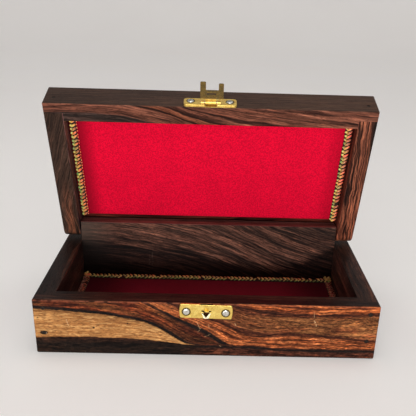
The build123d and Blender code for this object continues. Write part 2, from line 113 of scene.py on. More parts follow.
class Net:
    """Wires shader nodes; every value may be a number, a tuple or a socket."""

    def __init__(self, name):
        self.mat = bpy.data.materials.new(name)
        self.mat.use_nodes = True
        self.t = self.mat.node_tree
        self.t.nodes.clear()
        self.out = self.t.nodes.new("ShaderNodeOutputMaterial")

    def put(self, socket, value):
        if isinstance(value, bpy.types.NodeSocket):
            self.t.links.new(value, socket)
        elif value is not None:
            if isinstance(value, (tuple, list)) and len(value) == 3 and socket.type == "RGBA":
                value = (*value, 1.0)
            socket.default_value = value

    def node(self, kind, inputs=None, **props):
        n = self.t.nodes.new(kind)
        for k, v in props.items():
            setattr(n, k, v)
        for k, v in (inputs or {}).items():
            self.put(n.inputs[k], v)
        return n

    def math(self, op, a, b=None, c=None, clamp=False):
        n = self.node("ShaderNodeMath", operation=op, use_clamp=clamp)
        self.put(n.inputs[0], a)
        if b is not None:
            self.put(n.inputs[1], b)
        if c is not None:
            self.put(n.inputs[2], c)
        return n.outputs[0]

    def add(self, a, b):
        return self.math("ADD", a, b)

    def sub(self, a, b):
        return self.math("SUBTRACT", a, b)

    def mul(self, a, b):
        return self.math("MULTIPLY", a, b)

    def madd(self, a, b, c):
        return self.math("MULTIPLY_ADD", a, b, c)

    def step(self, x, lo, hi, a=0.0, b=1.0):
        """Smooth step of x from lo to hi, giving a to b."""
        n = self.node("ShaderNodeMapRange", interpolation_type="SMOOTHSTEP")
        self.put(n.inputs["Value"], x)
        self.put(n.inputs["From Min"], lo)
        self.put(n.inputs["From Max"], hi)
        self.put(n.inputs["To Min"], a)
        self.put(n.inputs["To Max"], b)
        return n.outputs["Result"]

    def lin(self, x, lo, hi, a=0.0, b=1.0):
        n = self.node("ShaderNodeMapRange", interpolation_type="LINEAR", clamp=True)
        self.put(n.inputs["Value"], x)
        self.put(n.inputs["From Min"], lo)
        self.put(n.inputs["From Max"], hi)
        self.put(n.inputs["To Min"], a)
        self.put(n.inputs["To Max"], b)
        return n.outputs["Result"]

    def vec(self, x, y, z):
        n = self.node("ShaderNodeCombineXYZ")
        self.put(n.inputs[0], x)
        self.put(n.inputs[1], y)
        self.put(n.inputs[2], z)
        return n.outputs[0]

    def noise(self, v, scale=1.0, detail=2.0, rough=0.5, distort=0.0):
        n = self.node("ShaderNodeTexNoise", noise_dimensions="3D")
        self.put(n.inputs["Vector"], v)
        self.put(n.inputs["Scale"], scale)
        self.put(n.inputs["Detail"], detail)
        self.put(n.inputs["Roughness"], rough)
        self.put(n.inputs["Distortion"], distort)
        return n.outputs["Fac"]

    def voronoi(self, v, scale=1.0, rand=1.0, feature="F1"):
        n = self.node("ShaderNodeTexVoronoi", voronoi_dimensions="3D", feature=feature)
        self.put(n.inputs["Vector"], v)
        self.put(n.inputs["Scale"], scale)
        self.put(n.inputs["Randomness"], rand)
        return n.outputs["Distance"]

    def mix(self, fac, a, b, mode="MIX"):
        n = self.node("ShaderNodeMix", data_type="RGBA", blend_type=mode, clamp_factor=True)
        self.put(n.inputs[0], fac)
        self.put(n.inputs[6], a)
        self.put(n.inputs[7], b)
        return n.outputs[2]

    def ramp(self, fac, stops, interp="LINEAR"):
        n = self.node("ShaderNodeValToRGB")
        cr = n.color_ramp
        cr.interpolation = interp
        while len(cr.elements) > 1:
            cr.elements.remove(cr.elements[0])
        cr.elements[0].position = stops[0][0]
        cr.elements[0].color = (*stops[0][1], 1)
        for p, c in stops[1:]:
            e = cr.elements.new(p)
            e.color = (*c, 1)
        self.put(n.inputs[0], fac)
        return n.outputs[0]

    def curve(self, x, pts, x0, x1, y0, y1):
        """A smooth curve through pts, given in real units, as a function of x."""
        u = self.lin(x, x0, x1)
        n = self.node("ShaderNodeFloatCurve")
        c = n.mapping.curves[0]
        pts = [((px - x0) / (x1 - x0), (py - y0) / (y1 - y0)) for px, py in pts]
        while len(c.points) > 2:
            c.points.remove(c.points[1])
        c.points[0].location = pts[0]
        c.points[1].location = pts[-1]
        for p in pts[1:-1]:
            c.points.new(*p)
        n.mapping.use_clip = False
        n.mapping.update()
        self.put(n.inputs["Value"], u)
        return self.madd(n.outputs[0], y1 - y0, y0)

    def bump(self, height, strength=0.3, distance=0.0002, normal=None):
        n = self.node("ShaderNodeBump")
        self.put(n.inputs["Height"], height)
        self.put(n.inputs["Strength"], strength)
        self.put(n.inputs["Distance"], distance)
        if normal is not None:
            self.put(n.inputs["Normal"], normal)
        return n.outputs[0]

    def principled(self, **inputs):
        n = self.node("ShaderNodeBsdfPrincipled")
        for k, v in inputs.items():
            self.put(n.inputs[k.replace("_", " ")], v)
        self.t.links.new(n.outputs[0], self.out.inputs[0])
        return n

    def place(self, lid=False):
        """Object coordinates in millimetres, for the lid's parts those of the closed box."""
        v = self.node("ShaderNodeTexCoord").outputs["Object"]
        s = self.node("ShaderNodeVectorMath", operation="SCALE")
        self.put(s.inputs[0], v)
        self.put(s.inputs["Scale"], 1000.0)
        v = s.outputs[0]
        if lid:
            r = self.node("ShaderNodeVectorRotate", rotation_type="X_AXIS")
            self.put(r.inputs["Vector"], v)
            self.put(r.inputs["Center"], (0.0, AY, AZ))
            self.put(r.inputs["Angle"], OPEN)
            v = r.outputs[0]
        sep = self.node("ShaderNodeSeparateXYZ")
        self.put(sep.inputs[0], v)
        return v, sep.outputs[0], sep.outputs[1], sep.outputs[2]


def srgb(r, g, b):
    def f(c):
        c /= 255.0
        return c / 12.92 if c <= 0.04045 else ((c + 0.055) / 1.055) ** 2.4

    return (f(r), f(g), f(b))


# ---------------------------------------------------------------------------
# Wood
# ---------------------------------------------------------------------------

DARK = srgb(34, 24, 20)
BLACK = srgb(24, 17, 15)

TONES = {
    "red": [
        (0.00, srgb(34, 20, 16)), (0.28, srgb(62, 34, 25)), (0.48, srgb(96, 52, 37)),
        (0.66, srgb(130, 72, 49)), (0.85, srgb(156, 90, 62)), (1.00, srgb(176, 106, 74)),
    ],
    "dim": [
        (0.00, srgb(26, 19, 17)), (0.35, srgb(44, 31, 26)), (0.60, srgb(66, 44, 35)),
        (0.85, srgb(92, 60, 47)), (1.00, srgb(112, 74, 57)),
    ],
    "grey": [
        (0.00, srgb(50, 38, 32)), (0.35, srgb(66, 49, 41)), (0.65, srgb(80, 58, 47)),
        (1.00, srgb(102, 74, 57)),
    ],
}


def fibre(n, col, across, along, seed, dark=0.75, light=0.55, width=0.62, length=13.0):
    """Hairlines along the grain: dark ones, light ones and short dark pores."""
    a = n.noise(n.vec(n.mul(across, 1 / width), n.mul(along, 1 / length), seed + 71.0), 1.0, 2.0, 0.6)
    b = n.noise(n.vec(n.mul(across, 1 / (width * 1.25)), n.mul(along, 1 / (length * 0.75)), seed + 83.0), 1.0, 2.0, 0.6)
    p = n.noise(n.vec(n.mul(across, 1 / 0.55), n.mul(along, 1 / 2.2), seed + 97.0), 1.0, 1.0, 0.5)
    col = n.mix(n.step(a, 0.38, 0.52, dark, 0.0), col, (0.30, 0.27, 0.27), "MULTIPLY")
    col = n.mix(n.step(b, 0.53, 0.68, 0.0, light), col, (1.9, 1.75, 1.6), "MULTIPLY")
    col = n.mix(n.step(p, 0.58, 0.68, 0.0, dark * 0.75), col, (0.32, 0.28, 0.28), "MULTIPLY")
    return col, a, p


def wood(name, grain="x", lid=False, seed=0.0, tilt=0.0, kc=1.0, kt=0.6, warp=3.0,
         tones="red", light=1.0, veins=0.8, figure=None, contrast=1.0, gloss=0.46, dark=0.75, lines=0.55):
    n = Net(name)
    v, x, y, z = n.place(lid)
    if grain == "x":
        g, c, t = x, z, y
    elif grain == "y":
        g, c, t = y, z, x
    else:                                   # a panel: grain along x, face level
        g, c, t = x, y, z
    # slow drift of the layers along the board
    w1 = n.noise(n.vec(n.mul(g, 1 / 60.0), n.mul(c, 1 / 30.0), n.add(n.mul(t, 1 / 30.0), seed)), 1.0, 1.0)
    w2 = n.noise(n.vec(n.mul(g, 1 / 16.0), n.mul(c, 1 / 9.0), n.add(n.mul(t, 1 / 9.0), seed + 3.1)), 1.0, 2.0)
    s = n.add(n.mul(c, kc), n.mul(t, kt))
    s = n.madd(g, tilt, s)
    s = n.madd(n.sub(w1, 0.5), 4.0 * warp, s)
    s = n.madd(n.sub(w2, 0.5), 1.6, s)

    big = n.noise(n.vec(n.mul(s, 1 / 5.5), n.mul(g, 1 / 170.0), seed + 11.0), 1.0, 2.0, 0.55)
    mid = n.noise(n.vec(n.mul(s, 1 / 1.3), n.mul(g, 1 / 50.0), seed + 23.0), 1.0, 2.0, 0.6)
    tone = n.madd(n.sub(big, 0.5), 1.9 * contrast, 0.5)
    tone = n.madd(n.sub(mid, 0.5), 1.3 * contrast, tone)
    col = n.ramp(tone, TONES[tones])
    # dark veins follow the layers
    vn = n.noise(n.vec(n.mul(s, 1 / 7.0), n.mul(g, 1 / 240.0), seed + 51.0), 1.0, 1.0)
    line = n.step(n.math("ABSOLUTE", n.sub(vn, 0.5)), 0.004, 0.03, 1.0, 0.0)
    vn2 = n.noise(n.vec(n.mul(s, 1 / 3.2), n.mul(g, 1 / 150.0), seed + 63.0), 1.0, 1.0)
    line2 = n.step(n.math("ABSOLUTE", n.sub(vn2, 0.56)), 0.004, 0.028, 0.65, 0.0)
    line = n.math("MAXIMUM", line, line2)
    line = n.mul(line, veins)
    col = n.mix(line, col, BLACK)
    col = n.mix(1.0, col, (light, light, light), "MULTIPLY") if light != 1.0 else col
    col, fine, pore = fibre(n, col, s, g, seed, dark, lines)
    if figure:
        col = figure(n, x, y, z, col, s, seed)
    # hand-rubbed polish
    rub = n.noise(n.vec(n.mul(g, 1 / 22.0), n.mul(c, 1 / 8.0), n.mul(t, 1 / 8.0)), 1.0, 3.0)
    rough = n.madd(rub, 0.22, gloss - 0.11)
    rough = n.madd(n.step(pore, 0.58, 0.68), 0.12, rough)
    h = n.madd(n.step(pore, 0.58, 0.68), -0.8, n.mul(fine, 0.8))
    nb = n.bump(h, 0.35, 0.00012)
    n.principled(Base_Color=col, Roughness=rough, Normal=nb, Specular_IOR_Level=0.08)
    return n.mat


# the front board's figure: guide lines (x, z) in mm on the front face, bottom to top
G0B = [(-101.5, -1.0), (-30, 0.6), (-20, 3.0), (-9.0, 5.8), (-3.6, 5.6), (20.2, 5.8), (33.2, 5.2), (55.8, 4.3), (80.3, 4.2), (101.5, 4.2)]
G1 = [(-101.5, 10.7), (-88.7, 11.1), (-72.2, 11.6), (-55.6, 11.5), (-40.4, 10.8), (-28.6, 9.8), (-20.3, 8.6), (-9.0, 7.2), (4.7, 7.0), (20.1, 7.1), (33.1, 6.7), (45.0, 5.6), (66.7, 5.8), (101.5, 5.8)]
G2 = [(-101.5, 30.0), (-87.2, 29.2), (-73.1, 28.0), (-59.0, 26.7), (-50.9, 25.4), (-40.1, 23.2), (-32.5, 20.5), (-24.4, 16.0), (-16.1, 10.6), (-10.5, 7.9), (-5.0, 7.3), (20.0, 7.3), (45.0, 5.9), (101.5, 6.1)]
G3 = [(-101.5, 31.6), (-87.0, 30.9), (-73.0, 29.8), (-58.9, 28.4), (-50.9, 27.1), (-40.0, 25.1), (-32.5, 22.6), (-24.3, 18.4), (-16.1, 13.0), (-9.0, 8.6), (-4.5, 7.6), (4.0, 7.5), (20.0, 7.5), (45.0, 6.1), (101.5, 6.3)]
G4 = [(-101.5, 37.5), (-42.0, 36.0), (-34.3, 33.0), (-27.1, 29.2), (-20.2, 25.2), (-12.0, 20.9), (-3.7, 16.5), (4.7, 10.9), (9.5, 8.0), (14.0, 7.8), (25.0, 7.5), (45.0, 6.3), (101.5, 6.5)]
G5 = [(-101.5, 38.0), (-40.0, 36.6), (-30.2, 32.6), (-20.2, 27.3), (-12.0, 23.4), (-3.8, 19.6), (4.6, 14.6), (11.0, 10.2), (15.0, 8.1), (25.0, 7.7), (45.0, 6.5), (101.5, 6.7)]
G6 = [(-101.5, 39.0), (-32.0, 38.0), (-26.2, 35.6), (-16.1, 31.2), (-5.9, 27.0), (4.0, 23.5), (12.6, 20.0), (18.7, 16.9), (24.8, 14.6), (30.9, 13.4), (36.9, 13.8), (48.9, 14.7), (61.0, 14.6), (73.2, 14.0), (85.5, 12.6), (101.5, 11.4)]
G7 = [(-101.5, 39.5), (-26.0, 37.6), (-16.1, 33.9), (-8.0, 30.2), (4.0, 26.4), (12.4, 23.0), (18.5, 20.3), (24.6, 18.4), (30.7, 16.8), (36.7, 16.3), (48.8, 16.4), (60.9, 16.2), (73.0, 15.7), (85.2, 14.5), (101.5, 13.2)]
G8 = [(-101.5, 40.0), (0.0, 37.5), (10.0, 34.8), (18.0, 32.4), (24.0, 30.3), (36.0, 28.7), (47.9, 27.9), (62.8, 27.8), (77.7, 28.3), (101.5, 29.4)]
G9 = [(-101.5, 40.5), (4.0, 38.0), (12.0, 36.0), (23.9, 33.0), (35.8, 31.6), (47.7, 30.6), (62.6, 29.8), (77.5, 30.1), (101.5, 31.0)]


def front_figure(n, x, y, z, plain, s0, seed):
    """The face of the front board: a lens of sapwood, dark lines and orange bands."""
    # small waver, so that no line is a clean stroke
    w = n.noise(n.vec(n.mul(x, 1 / 9.0), n.mul(z, 1 / 3.0), 5.0), 1.0, 3.0, 0.6)
    zz = n.madd(n.sub(w, 0.5), 1.9, z)
    w2 = n.noise(n.vec(n.mul(x, 1 / 2.6), n.mul(z, 1 / 0.7), 9.0), 1.0, 2.0)
    zz = n.madd(n.sub(w2, 0.5), 0.7, zz)

    def g(pts):
        return n.curve(x, pts, -101.5, 101.5, -2.0, 42.0)

    lines = []
    for p in (G0B, G1, G2, G3, G4, G5, G6, G7, G8, G9):
        line = g(p)
        if lines:
            line = n.math("MAXIMUM", line, n.add(lines[-1], 0.06))
        lines.append(line)
    # layer coordinate: 0..1 under the first line, then one per gap; d is the same in mm
    gaps = (4.0, 5.0, 15.0, 2.0, 8.0, 2.0, 9.0, 2.0, 13.0, 2.5, 6.0)
    s = n.lin(zz, n.sub(lines[0], 8.0), lines[0])
    d = n.mul(s, gaps[0])
    for k, (a, b) in enumerate(zip(lines, lines[1:])):
        part = n.lin(zz, a, b)
        s = n.add(s, part)
        d = n.madd(part, gaps[k + 1], d)
    part = n.lin(zz, lines[-1], n.add(lines[-1], 6.0))
    s = n.add(s, part)
    d = n.madd(part, gaps[-1], d)

    # streaks that follow the layers
    st = n.noise(n.vec(n.mul(d, 1 / 1.6), n.mul(x, 1 / 42.0), 3.0), 1.0, 3.0, 0.65)
    st2 = n.noise(n.vec(n.mul(zz, 1 / 0.8), n.mul(x, 1 / 13.0), n.mul(s, 1.4)), 1.0, 2.0, 0.6)
    streak = n.madd(n.sub(st, 0.5), 1.8, 0.5)
    streak = n.madd(n.sub(st2, 0.5), 0.9, streak)

    tan = n.ramp(streak, [(0.0, srgb(118, 72, 38)), (0.35, srgb(158, 106, 60)), (0.6, srgb(184, 130, 77)), (1.0, srgb(214, 164, 106))])
    redb = n.ramp(streak, [(0.0, srgb(48, 22, 15)), (0.35, srgb(88, 41, 24)), (0.62, srgb(128, 64, 38)), (1.0, srgb(172, 94, 58))])
    orange = n.ramp(streak, [(0.0, srgb(66, 30, 18)), (0.3, srgb(122, 62, 34)), (0.55, srgb(172, 94, 52)), (1.0, srgb(216, 134, 82))])
    brown = n.ramp(streak, [(0.0, srgb(56, 31, 19)), (0.4, srgb(96, 56, 32)), (0.7, srgb(130, 82, 48)), (1.0, srgb(164, 112, 68))])
    ink = n.ramp(streak, [(0.0, srgb(12, 9, 8)), (0.6, srgb(24, 18, 14)), (1.0, srgb(50, 34, 25))])
    strip = n.ramp(streak, [(0.0, srgb(24, 13, 10)), (0.5, srgb(70, 36, 25)), (1.0, srgb(124, 72, 52))])

    def gate(lo, hi, soft=0.22):
        a = n.step(s, lo - soft, lo + soft)
        b = n.step(s, hi - soft, hi + soft, 1.0, 0.0)
        return n.mul(a, b)

    # bottom: ink at the left, a brown strip at the right
    left = n.step(x, -22.0, 14.0, 1.0, 0.0)
    col = n.mix(left, strip, n.mix(n.step(zz, 9.0, 11.0, 0.0, 0.15), ink, redb))
    col = n.mix(n.mul(n.step(z, 0.4, 1.6, 1.0, 0.0), 0.8), col, BLACK)
    col = n.mix(gate(1.0, 2.0), col, n.mix(left, BLACK, n.mix(n.step(zz, 6.0, 11.5, 0.02, 0.08), ink, redb)))
    lens = n.mul(gate(2.0, 3.0, 0.04), n.step(x, -14.0, -6.0, 1.0, 0.0))
    col = n.mix(lens, col, tan)
    col = n.mix(gate(3.0, 4.0, 0.35), col, BLACK)
    mixed = n.mix(n.step(n.noise(n.vec(n.mul(x, 1 / 26.0), n.mul(s, 1.3), 8.0), 1.0, 2.0), 0.42, 0.62), redb, brown)
    hot = n.step(n.noise(n.vec(n.mul(x, 1 / 30.0), n.mul(s, 2.6), 2.0), 1.0, 2.0), 0.52, 0.64)
    mixed = n.mix(n.mul(hot, 0.35), mixed, orange)
    mixed = n.mix(1.0, mixed, (0.66, 0.56, 0.54), "MULTIPLY")
    mixed = n.mix(n.mul(n.step(x, -44.0, -34.0), n.step(z, 29.0, 31.5)), mixed, orange)
    # between the two lines the wood darkens towards the lower right
    mixed = n.mix(n.mul(n.step(x, -40.0, -10.0), 0.50), mixed, ink)
    col = n.mix(gate(4.0, 5.0, 0.12), col, mixed)
    col = n.mix(n.mul(gate(5.0, 6.0, 0.3), n.step(x, -36.0, -24.0, 0.0, 1.0)), col, BLACK)
    col = n.mix(gate(6.0, 7.0, 0.15), col, orange)
    fan = n.step(n.math("ABSOLUTE", n.sub(n.noise(n.vec(n.mul(s, 4.5), n.mul(x, 1 / 90.0), 4.0), 1.0, 1.0), 0.5)), 0.01, 0.06, 0.75, 0.0)
    col = n.mix(n.mul(gate(6.1, 6.95, 0.1), fan), col, srgb(56, 26, 17))
    col = n.mix(gate(7.0, 8.0, 0.3), col, n.mix(0.35, ink, redb))
    # curly brown field
    curl = n.noise(n.vec(n.mul(x, 1 / 3.6), n.mul(z, 1 / 1.1), 7.0), 1.0, 2.0, 0.6, 1.2)
    field = n.mix(n.step(curl, 0.44, 0.62, 0.0, 0.5), brown, srgb(160, 106, 62))
    field = n.mix(n.step(n.noise(n.vec(n.mul(x, 1 / 34.0), n.mul(z, 1 / 7.0), 6.0), 1.0, 2.0), 0.5, 0.66, 0.0, 0.6), field, redb)
    near = n.step(x, 22.0, 56.0, 0.6, 0.0)
    field = n.mix(near, field, n.mix(0.5, ink, redb))
    col = n.mix(gate(8.0, 9.0, 0.12), col, field)
    col = n.mix(gate(9.0, 10.0, 0.35), col, n.mix(0.35, ink, redb))
    col = n.mix(n.step(s, 9.90, 10.15), col, n.mix(1.0, n.mix(n.step(st, 0.42, 0.56), redb, orange), (0.86, 0.80, 0.74), "MULTIPLY"))
    # hairlines; in the pale lens they are short brown flecks
    fig, fa, fp = fibre(n, col, d, x, 5.5, 0.95, 0.85, 0.68, 10.0)
    speck = n.noise(n.vec(n.mul(zz, 1 / 0.62), n.mul(x, 1 / 2.2), 4.4), 1.0, 1.0, 0.5)
    pale = n.mix(n.step(fa, 0.38, 0.50, 0.30, 0.0), col, (0.45, 0.40, 0.36), "MULTIPLY")
    pale = n.mix(n.step(speck, 0.53, 0.61, 0.0, 0.6), pale, srgb(118, 74, 42))
    pale = n.mix(n.step(n.noise(n.vec(n.mul(zz, 1 / 0.7), n.mul(x, 1 / 9.0), 6.6), 1.0, 1.0), 0.56, 0.64, 0.0, 0.35), pale, srgb(222, 174, 114))
    pale = n.mix(1.0, pale, (0.92, 0.92, 0.91), "MULTIPLY")
    fig = n.mix(lens, fig, pale)
    fig = n.mix(n.mul(n.step(x, -56.0, -86.0), n.step(z, 29.5, 31.5)), fig, (0.78, 0.86, 0.94), "MULTIPLY")
    fig = n.mix(n.step(x, 78.0, 98.0, 0.0, 0.5), fig, (1.40, 1.38, 1.32), "MULTIPLY")
    # open pores and short bright flecks over the whole face
    pore = n.noise(n.vec(n.mul(zz, 1 / 0.9), n.mul(x, 1 / 2.5), 12.3), 1.0, 1.0, 0.5)
    keen = n.madd(lens, -0.42, 0.85)
    fig = n.mix(n.mul(n.step(pore, 0.38, 0.47, 0.72, 0.0), keen), fig, (0.40, 0.36, 0.34), "MULTIPLY")
    fig = n.mix(n.mul(n.step(pore, 0.54, 0.62, 0.0, 0.80), keen), fig, (1.6, 1.55, 1.45), "MULTIPLY")
    # worn upper edge: a broken, lighter line
    worn = n.mul(n.step(z, 34.4, 35.1), n.step(n.noise(n.vec(n.mul(x, 1 / 5.0), 0.0, 3.0), 1.0, 2.0), 0.40, 0.58))
    fig = n.mix(n.mul(worn, 0.6), fig, srgb(150, 84, 58))
    return n.mix(n.step(y, -52.45, -51.85, 1.0, 0.0), plain, fig)


def marks(n, x, y, z, col):
    """Nail stains, pin holes and light scratches on the front face."""
    face = n.step(y, -52.4, -52.0, 1.0, 0.0)

    def blot(cx, cz, rx, rz, tint, power):
        dx = n.mul(n.sub(x, cx), 1 / rx)
        dz = n.mul(n.sub(z, cz), 1 / rz)
        d = n.math("SQRT", n.add(n.mul(dx, dx), n.mul(dz, dz)))
        wob = n.noise(n.vec(n.mul(x, 0.9), n.mul(z, 0.9), cx), 1.0, 2.0)
        d = n.madd(n.sub(wob, 0.5), 0.7, d)
        return n.mix(n.mul(n.step(d, 0.75, 1.1, power, 0.0), face), col_[0], tint)

    col_ = [col]
    for cx, cz, rx, rz, power in ((-95.5, 30.3, 2.0, 1.3, 0.9), (-96.1, 13.9, 2.5, 1.5, 0.95), (95.9, 30.3, 1.7, 1.3, 0.85), (95.6, 12.3, 1.6, 1.3, 0.85),
                                  (-66.6, 18.0, 0.7, 0.7, 0.9), (-46.6, 21.2, 0.5, 0.5, 0.8), (-99.0, 24.0, 0.5, 0.4, 0.6)):
        col_[0] = blot(cx, cz, rx, rz, BLACK, power)

    filler = n.mul(n.step(n.math("ABSOLUTE", n.add(x, 95.2)), 0.3, 0.9, 1.0, 0.0), n.step(n.math("ABSOLUTE", n.sub(z, 13.6)), 0.3, 0.8, 1.0, 0.0))
    col_[0] = n.mix(n.mul(n.mul(filler, face), 0.55), col_[0], srgb(150, 134, 118))

    def scratch(x0, z0, x1, z1, width, power):
        lx, lz = x1 - x0, z1 - z0
        ll = lx * lx + lz * lz
        t = n.math("MULTIPLY", n.add(n.mul(n.sub(x, x0), lx / ll), n.mul(n.sub(z, z0), lz / ll)), 1.0, clamp=True)
        dx = n.sub(n.sub(x, x0), n.mul(t, lx))
        dz = n.sub(n.sub(z, z0), n.mul(t, lz))
        d = n.math("SQRT", n.add(n.mul(dx, dx), n.mul(dz, dz)))
        broken = n.step(n.noise(n.vec(n.mul(x, 2.0), n.mul(z, 2.0), x0), 1.0, 2.0), 0.40, 0.55)
        fac = n.mul(n.step(d, width * 0.4, width, power, 0.0), broken)
        return n.mix(n.mul(fac, face), col_[0], srgb(226, 186, 140))

    for a in ((-82.4, 22.9, -81.4, 18.9, 0.28, 0.7), (-6.0, 23.4, -4.2, 18.8, 0.2, 0.5), (-3.4, 19.0, -5.2, 16.4, 0.2, 0.45),
              (-1.2, 13.2, 2.0, 14.8, 0.2, 0.3), (62.6, 31.0, 63.0, 28.0, 0.25, 0.35), (63.4, 25.4, 63.8, 24.2, 0.55, 0.75),
              (64.5, 22.9, 64.8, 21.9, 0.5, 0.65), (1.0, 21.6, 1.4, 19.6, 0.25, 0.45),
              (16.5, 22.5, 17.4, 20.8, 0.25, 0.6), (8.0, 7.4, 8.6, 6.9, 0.35, 0.6)):
        col_[0] = scratch(*a)
    return col_[0]


def front_board_figure(n, x, y, z, plain, s0, seed):
    return marks(n, x, y, z, front_figure(n, x, y, z, plain, s0, seed))


# drop of the layers along the tall back board, and their rise along the lid's front rim
# upper edge of the painted shadow of the front board on the tall back board
DARK_BACK = [(-90.0, 35.5), (-63.0, 34.4), (-42.0, 32.6), (-17.0, 28.6), (8.0, 22.6), (30.0, 19.0), (54.0, 19.0), (66.0, 23.0), (77.0, 28.0), (90.0, 34.0)]
K_BACK = [(-90.0, 0.0), (-70.0, 1.0), (-37.0, 6.0), (0.0, 15.5), (30.0, 28.0), (55.0, 39.0), (90.0, 50.0)]
H_RIM = [(-102.5, 0.0), (-60.0, 0.5), (-41.0, 4.0), (-29.0, 6.8), (-10.0, 14.0), (30.0, 22.0), (102.5, 30.0)]


def back_board_figure(n, x, y, z, plain, s0, seed):
    """Streaks that fall to the right, a painted shadow of the front board towards the floor; a dark reddish top edge.
    """
    k = n.curve(x, K_BACK, -90.0, 90.0, 0.0, 52.0)
    w = n.noise(n.vec(n.mul(x, 1 / 24.0), n.mul(z, 1 / 9.0), 2.0), 1.0, 2.0)
    s = n.madd(n.sub(w, 0.5), 3.2, n.add(z, k))
    a = n.noise(n.vec(n.mul(s, 1 / 2.9), n.mul(x, 1 / 90.0), 1.7), 1.0, 2.0, 0.6)
    b = n.noise(n.vec(n.mul(s, 1 / 1.1), n.mul(x, 1 / 36.0), 4.9), 1.0, 2.0, 0.6)
    tone = n.madd(n.sub(a, 0.5), 1.1, n.mul(n.sub(b, 0.5), 1.55))
    # the left end is duller and quieter
    tone = n.madd(tone, n.step(x, -84.0, -40.0, 0.6, 1.0), n.step(x, -84.0, -40.0, 0.40, 0.48))
    col = n.ramp(tone, [(0.0, srgb(24, 16, 14)), (0.30, srgb(48, 33, 28)), (0.50, srgb(78, 51, 42)), (0.72, srgb(108, 71, 58)), (1.0, srgb(136, 91, 75))])
    col, fa, fp = fibre(n, col, s, x, 2.2, 0.85, 0.9, 0.72, 8.0)
    # painted shadow of the front board: darker towards the floor, lowest at the right
    edge = n.madd(n.sub(w, 0.5), 8.0, n.curve(x, DARK_BACK, -90.0, 90.0, 0.0, 52.0))
    edge = n.madd(n.sub(b, 0.5), -12.0, edge)
    fade = n.step(x, -50.0, 0.0, 7.5, 3.5)
    front_board_shadow = n.step(z, n.sub(edge, fade), n.add(edge, fade), 0.94, 0.0)
    col = n.mix(n.step(x, -88.0, -62.0, 0.7, 0.0), col, srgb(62, 52, 46))
    col = n.mix(n.mul(n.step(z, 34.0, 44.0), n.step(x, 10.0, -30.0)), col, (1.35, 1.32, 1.30), "MULTIPLY")
    col = n.mix(n.mul(n.step(z, 36.0, 46.0), n.step(x, 30.0, 70.0)), col, (0.72, 0.78, 0.80), "MULTIPLY")
    col = n.mix(front_board_shadow, col, (0.13, 0.12, 0.14), "MULTIPLY")
    # two faint rubbed marks
    for cx in (-42.3, -40.2):
        m = n.mul(n.step(n.math("ABSOLUTE", n.sub(x, cx)), 0.2, 0.7, 1.0, 0.0), n.step(n.math("ABSOLUTE", n.sub(z, 23.5)), 5.0, 10.0, 0.16, 0.0))
        worn = n.step(n.noise(n.vec(n.mul(x, 1.1), n.mul(z, 0.55), cx), 1.0, 2.0), 0.44, 0.60)
        col = n.mix(n.mul(m, worn), col, srgb(120, 96, 88))
    r = n.noise(n.vec(n.mul(n.madd(x, 0.02, y), 1 / 1.5), n.mul(x, 1 / 42.0), 5.5), 1.0, 2.0)
    rim, fa, fp = fibre(n, n.mix(n.step(r, 0.38, 0.64), srgb(84, 48, 46), srgb(128, 76, 69)), n.add(y, z), x, 6.0, 0.6, 0.4)
    col = n.mix(n.step(z, 49.1, 49.5), col, rim)
    return n.mix(n.step(y, 41.6, 43.0), col, n.mix(n.step(z, 49.1, 49.5), plain, rim))


def lid_front_figure(n, x, y, z, plain, s0, seed):
    """Dull straight grain on the outer face; the closed rim has a diagonal figure."""
    h = n.curve(x, H_RIM, -102.5, 102.5, 0.0, 32.0)
    w = n.noise(n.vec(n.mul(x, 1 / 14.0), n.mul(y, 1 / 5.0), 2.0), 1.0, 2.0)
    s = n.madd(n.sub(w, 0.5), 2.2, n.sub(n.add(y, 52.5), h))     # 0 at the front edge
    a = n.noise(n.vec(n.mul(s, 1 / 3.0), n.mul(x, 1 / 80.0), 5.1), 1.0, 2.0, 0.6)
    b = n.noise(n.vec(n.mul(s, 1 / 0.9), n.mul(x, 1 / 26.0), 1.3), 1.0, 2.0, 0.6)
    tone = n.madd(n.sub(a, 0.5), 1.5, 0.52)
    tone = n.madd(n.sub(b, 0.5), 1.5, tone)
    col = n.ramp(tone, [(0.0, srgb(40, 24, 20)), (0.30, srgb(70, 41, 33)), (0.50, srgb(104, 64, 50)), (0.72, srgb(136, 84, 66)), (1.0, srgb(168, 108, 86))])
    # dark band along the inner edge at the left
    band = n.mul(n.step(s, 5.2, 6.6), n.step(x, -30.0, 8.0, 1.0, 0.0))
    col = n.mix(n.mul(band, 0.92), col, n.mix(n.step(b, 0.42, 0.6), srgb(44, 37, 34), srgb(72, 58, 53)))
    # an orange streak between two dark veins
    for lo, hi, tint, power in ((-3.4, -2.2, srgb(34, 20, 17), 0.9), (-7.4, -6.0, srgb(32, 19, 16), 0.95), (-6.0, -3.4, srgb(150, 88, 62), 0.55), (-12.0, -11.0, srgb(40, 24, 20), 0.7)):
        m = n.mul(n.step(s, lo - 0.35, lo + 0.35), n.step(s, hi - 0.35, hi + 0.35, 1.0, 0.0))
        col = n.mix(n.mul(m, n.mul(n.step(x, -62.0, -48.0), power)), col, tint)
    col = n.mix(1.0, col, (0.82, 0.80, 0.80), "MULTIPLY")
    col, fa, fp = fibre(n, col, s, x, 7.7, 0.72, 0.6, 0.66, 11.0)
    # outer face
    c = n.noise(n.vec(n.mul(z, 1 / 1.4), n.mul(x, 1 / 70.0), n.mul(y, 1 / 2.0)), 1.0, 3.0, 0.6)
    e = n.noise(n.vec(n.mul(z, 1 / 6.0), n.mul(x, 1 / 60.0), 8.0), 1.0, 2.0)
    out = n.ramp(n.madd(n.sub(e, 0.5), 0.8, n.madd(n.sub(c, 0.5), 1.1, n.lin(x, -90.0, 95.0, 0.36, 0.66))), TONES["grey"])
    out, fa, fp = fibre(n, out, z, x, 3.7, 0.5, 0.35, 0.6, 14.0)
    return n.mix(n.step(y, -52.42, -52.0, 1.0, 0.0), col, out)


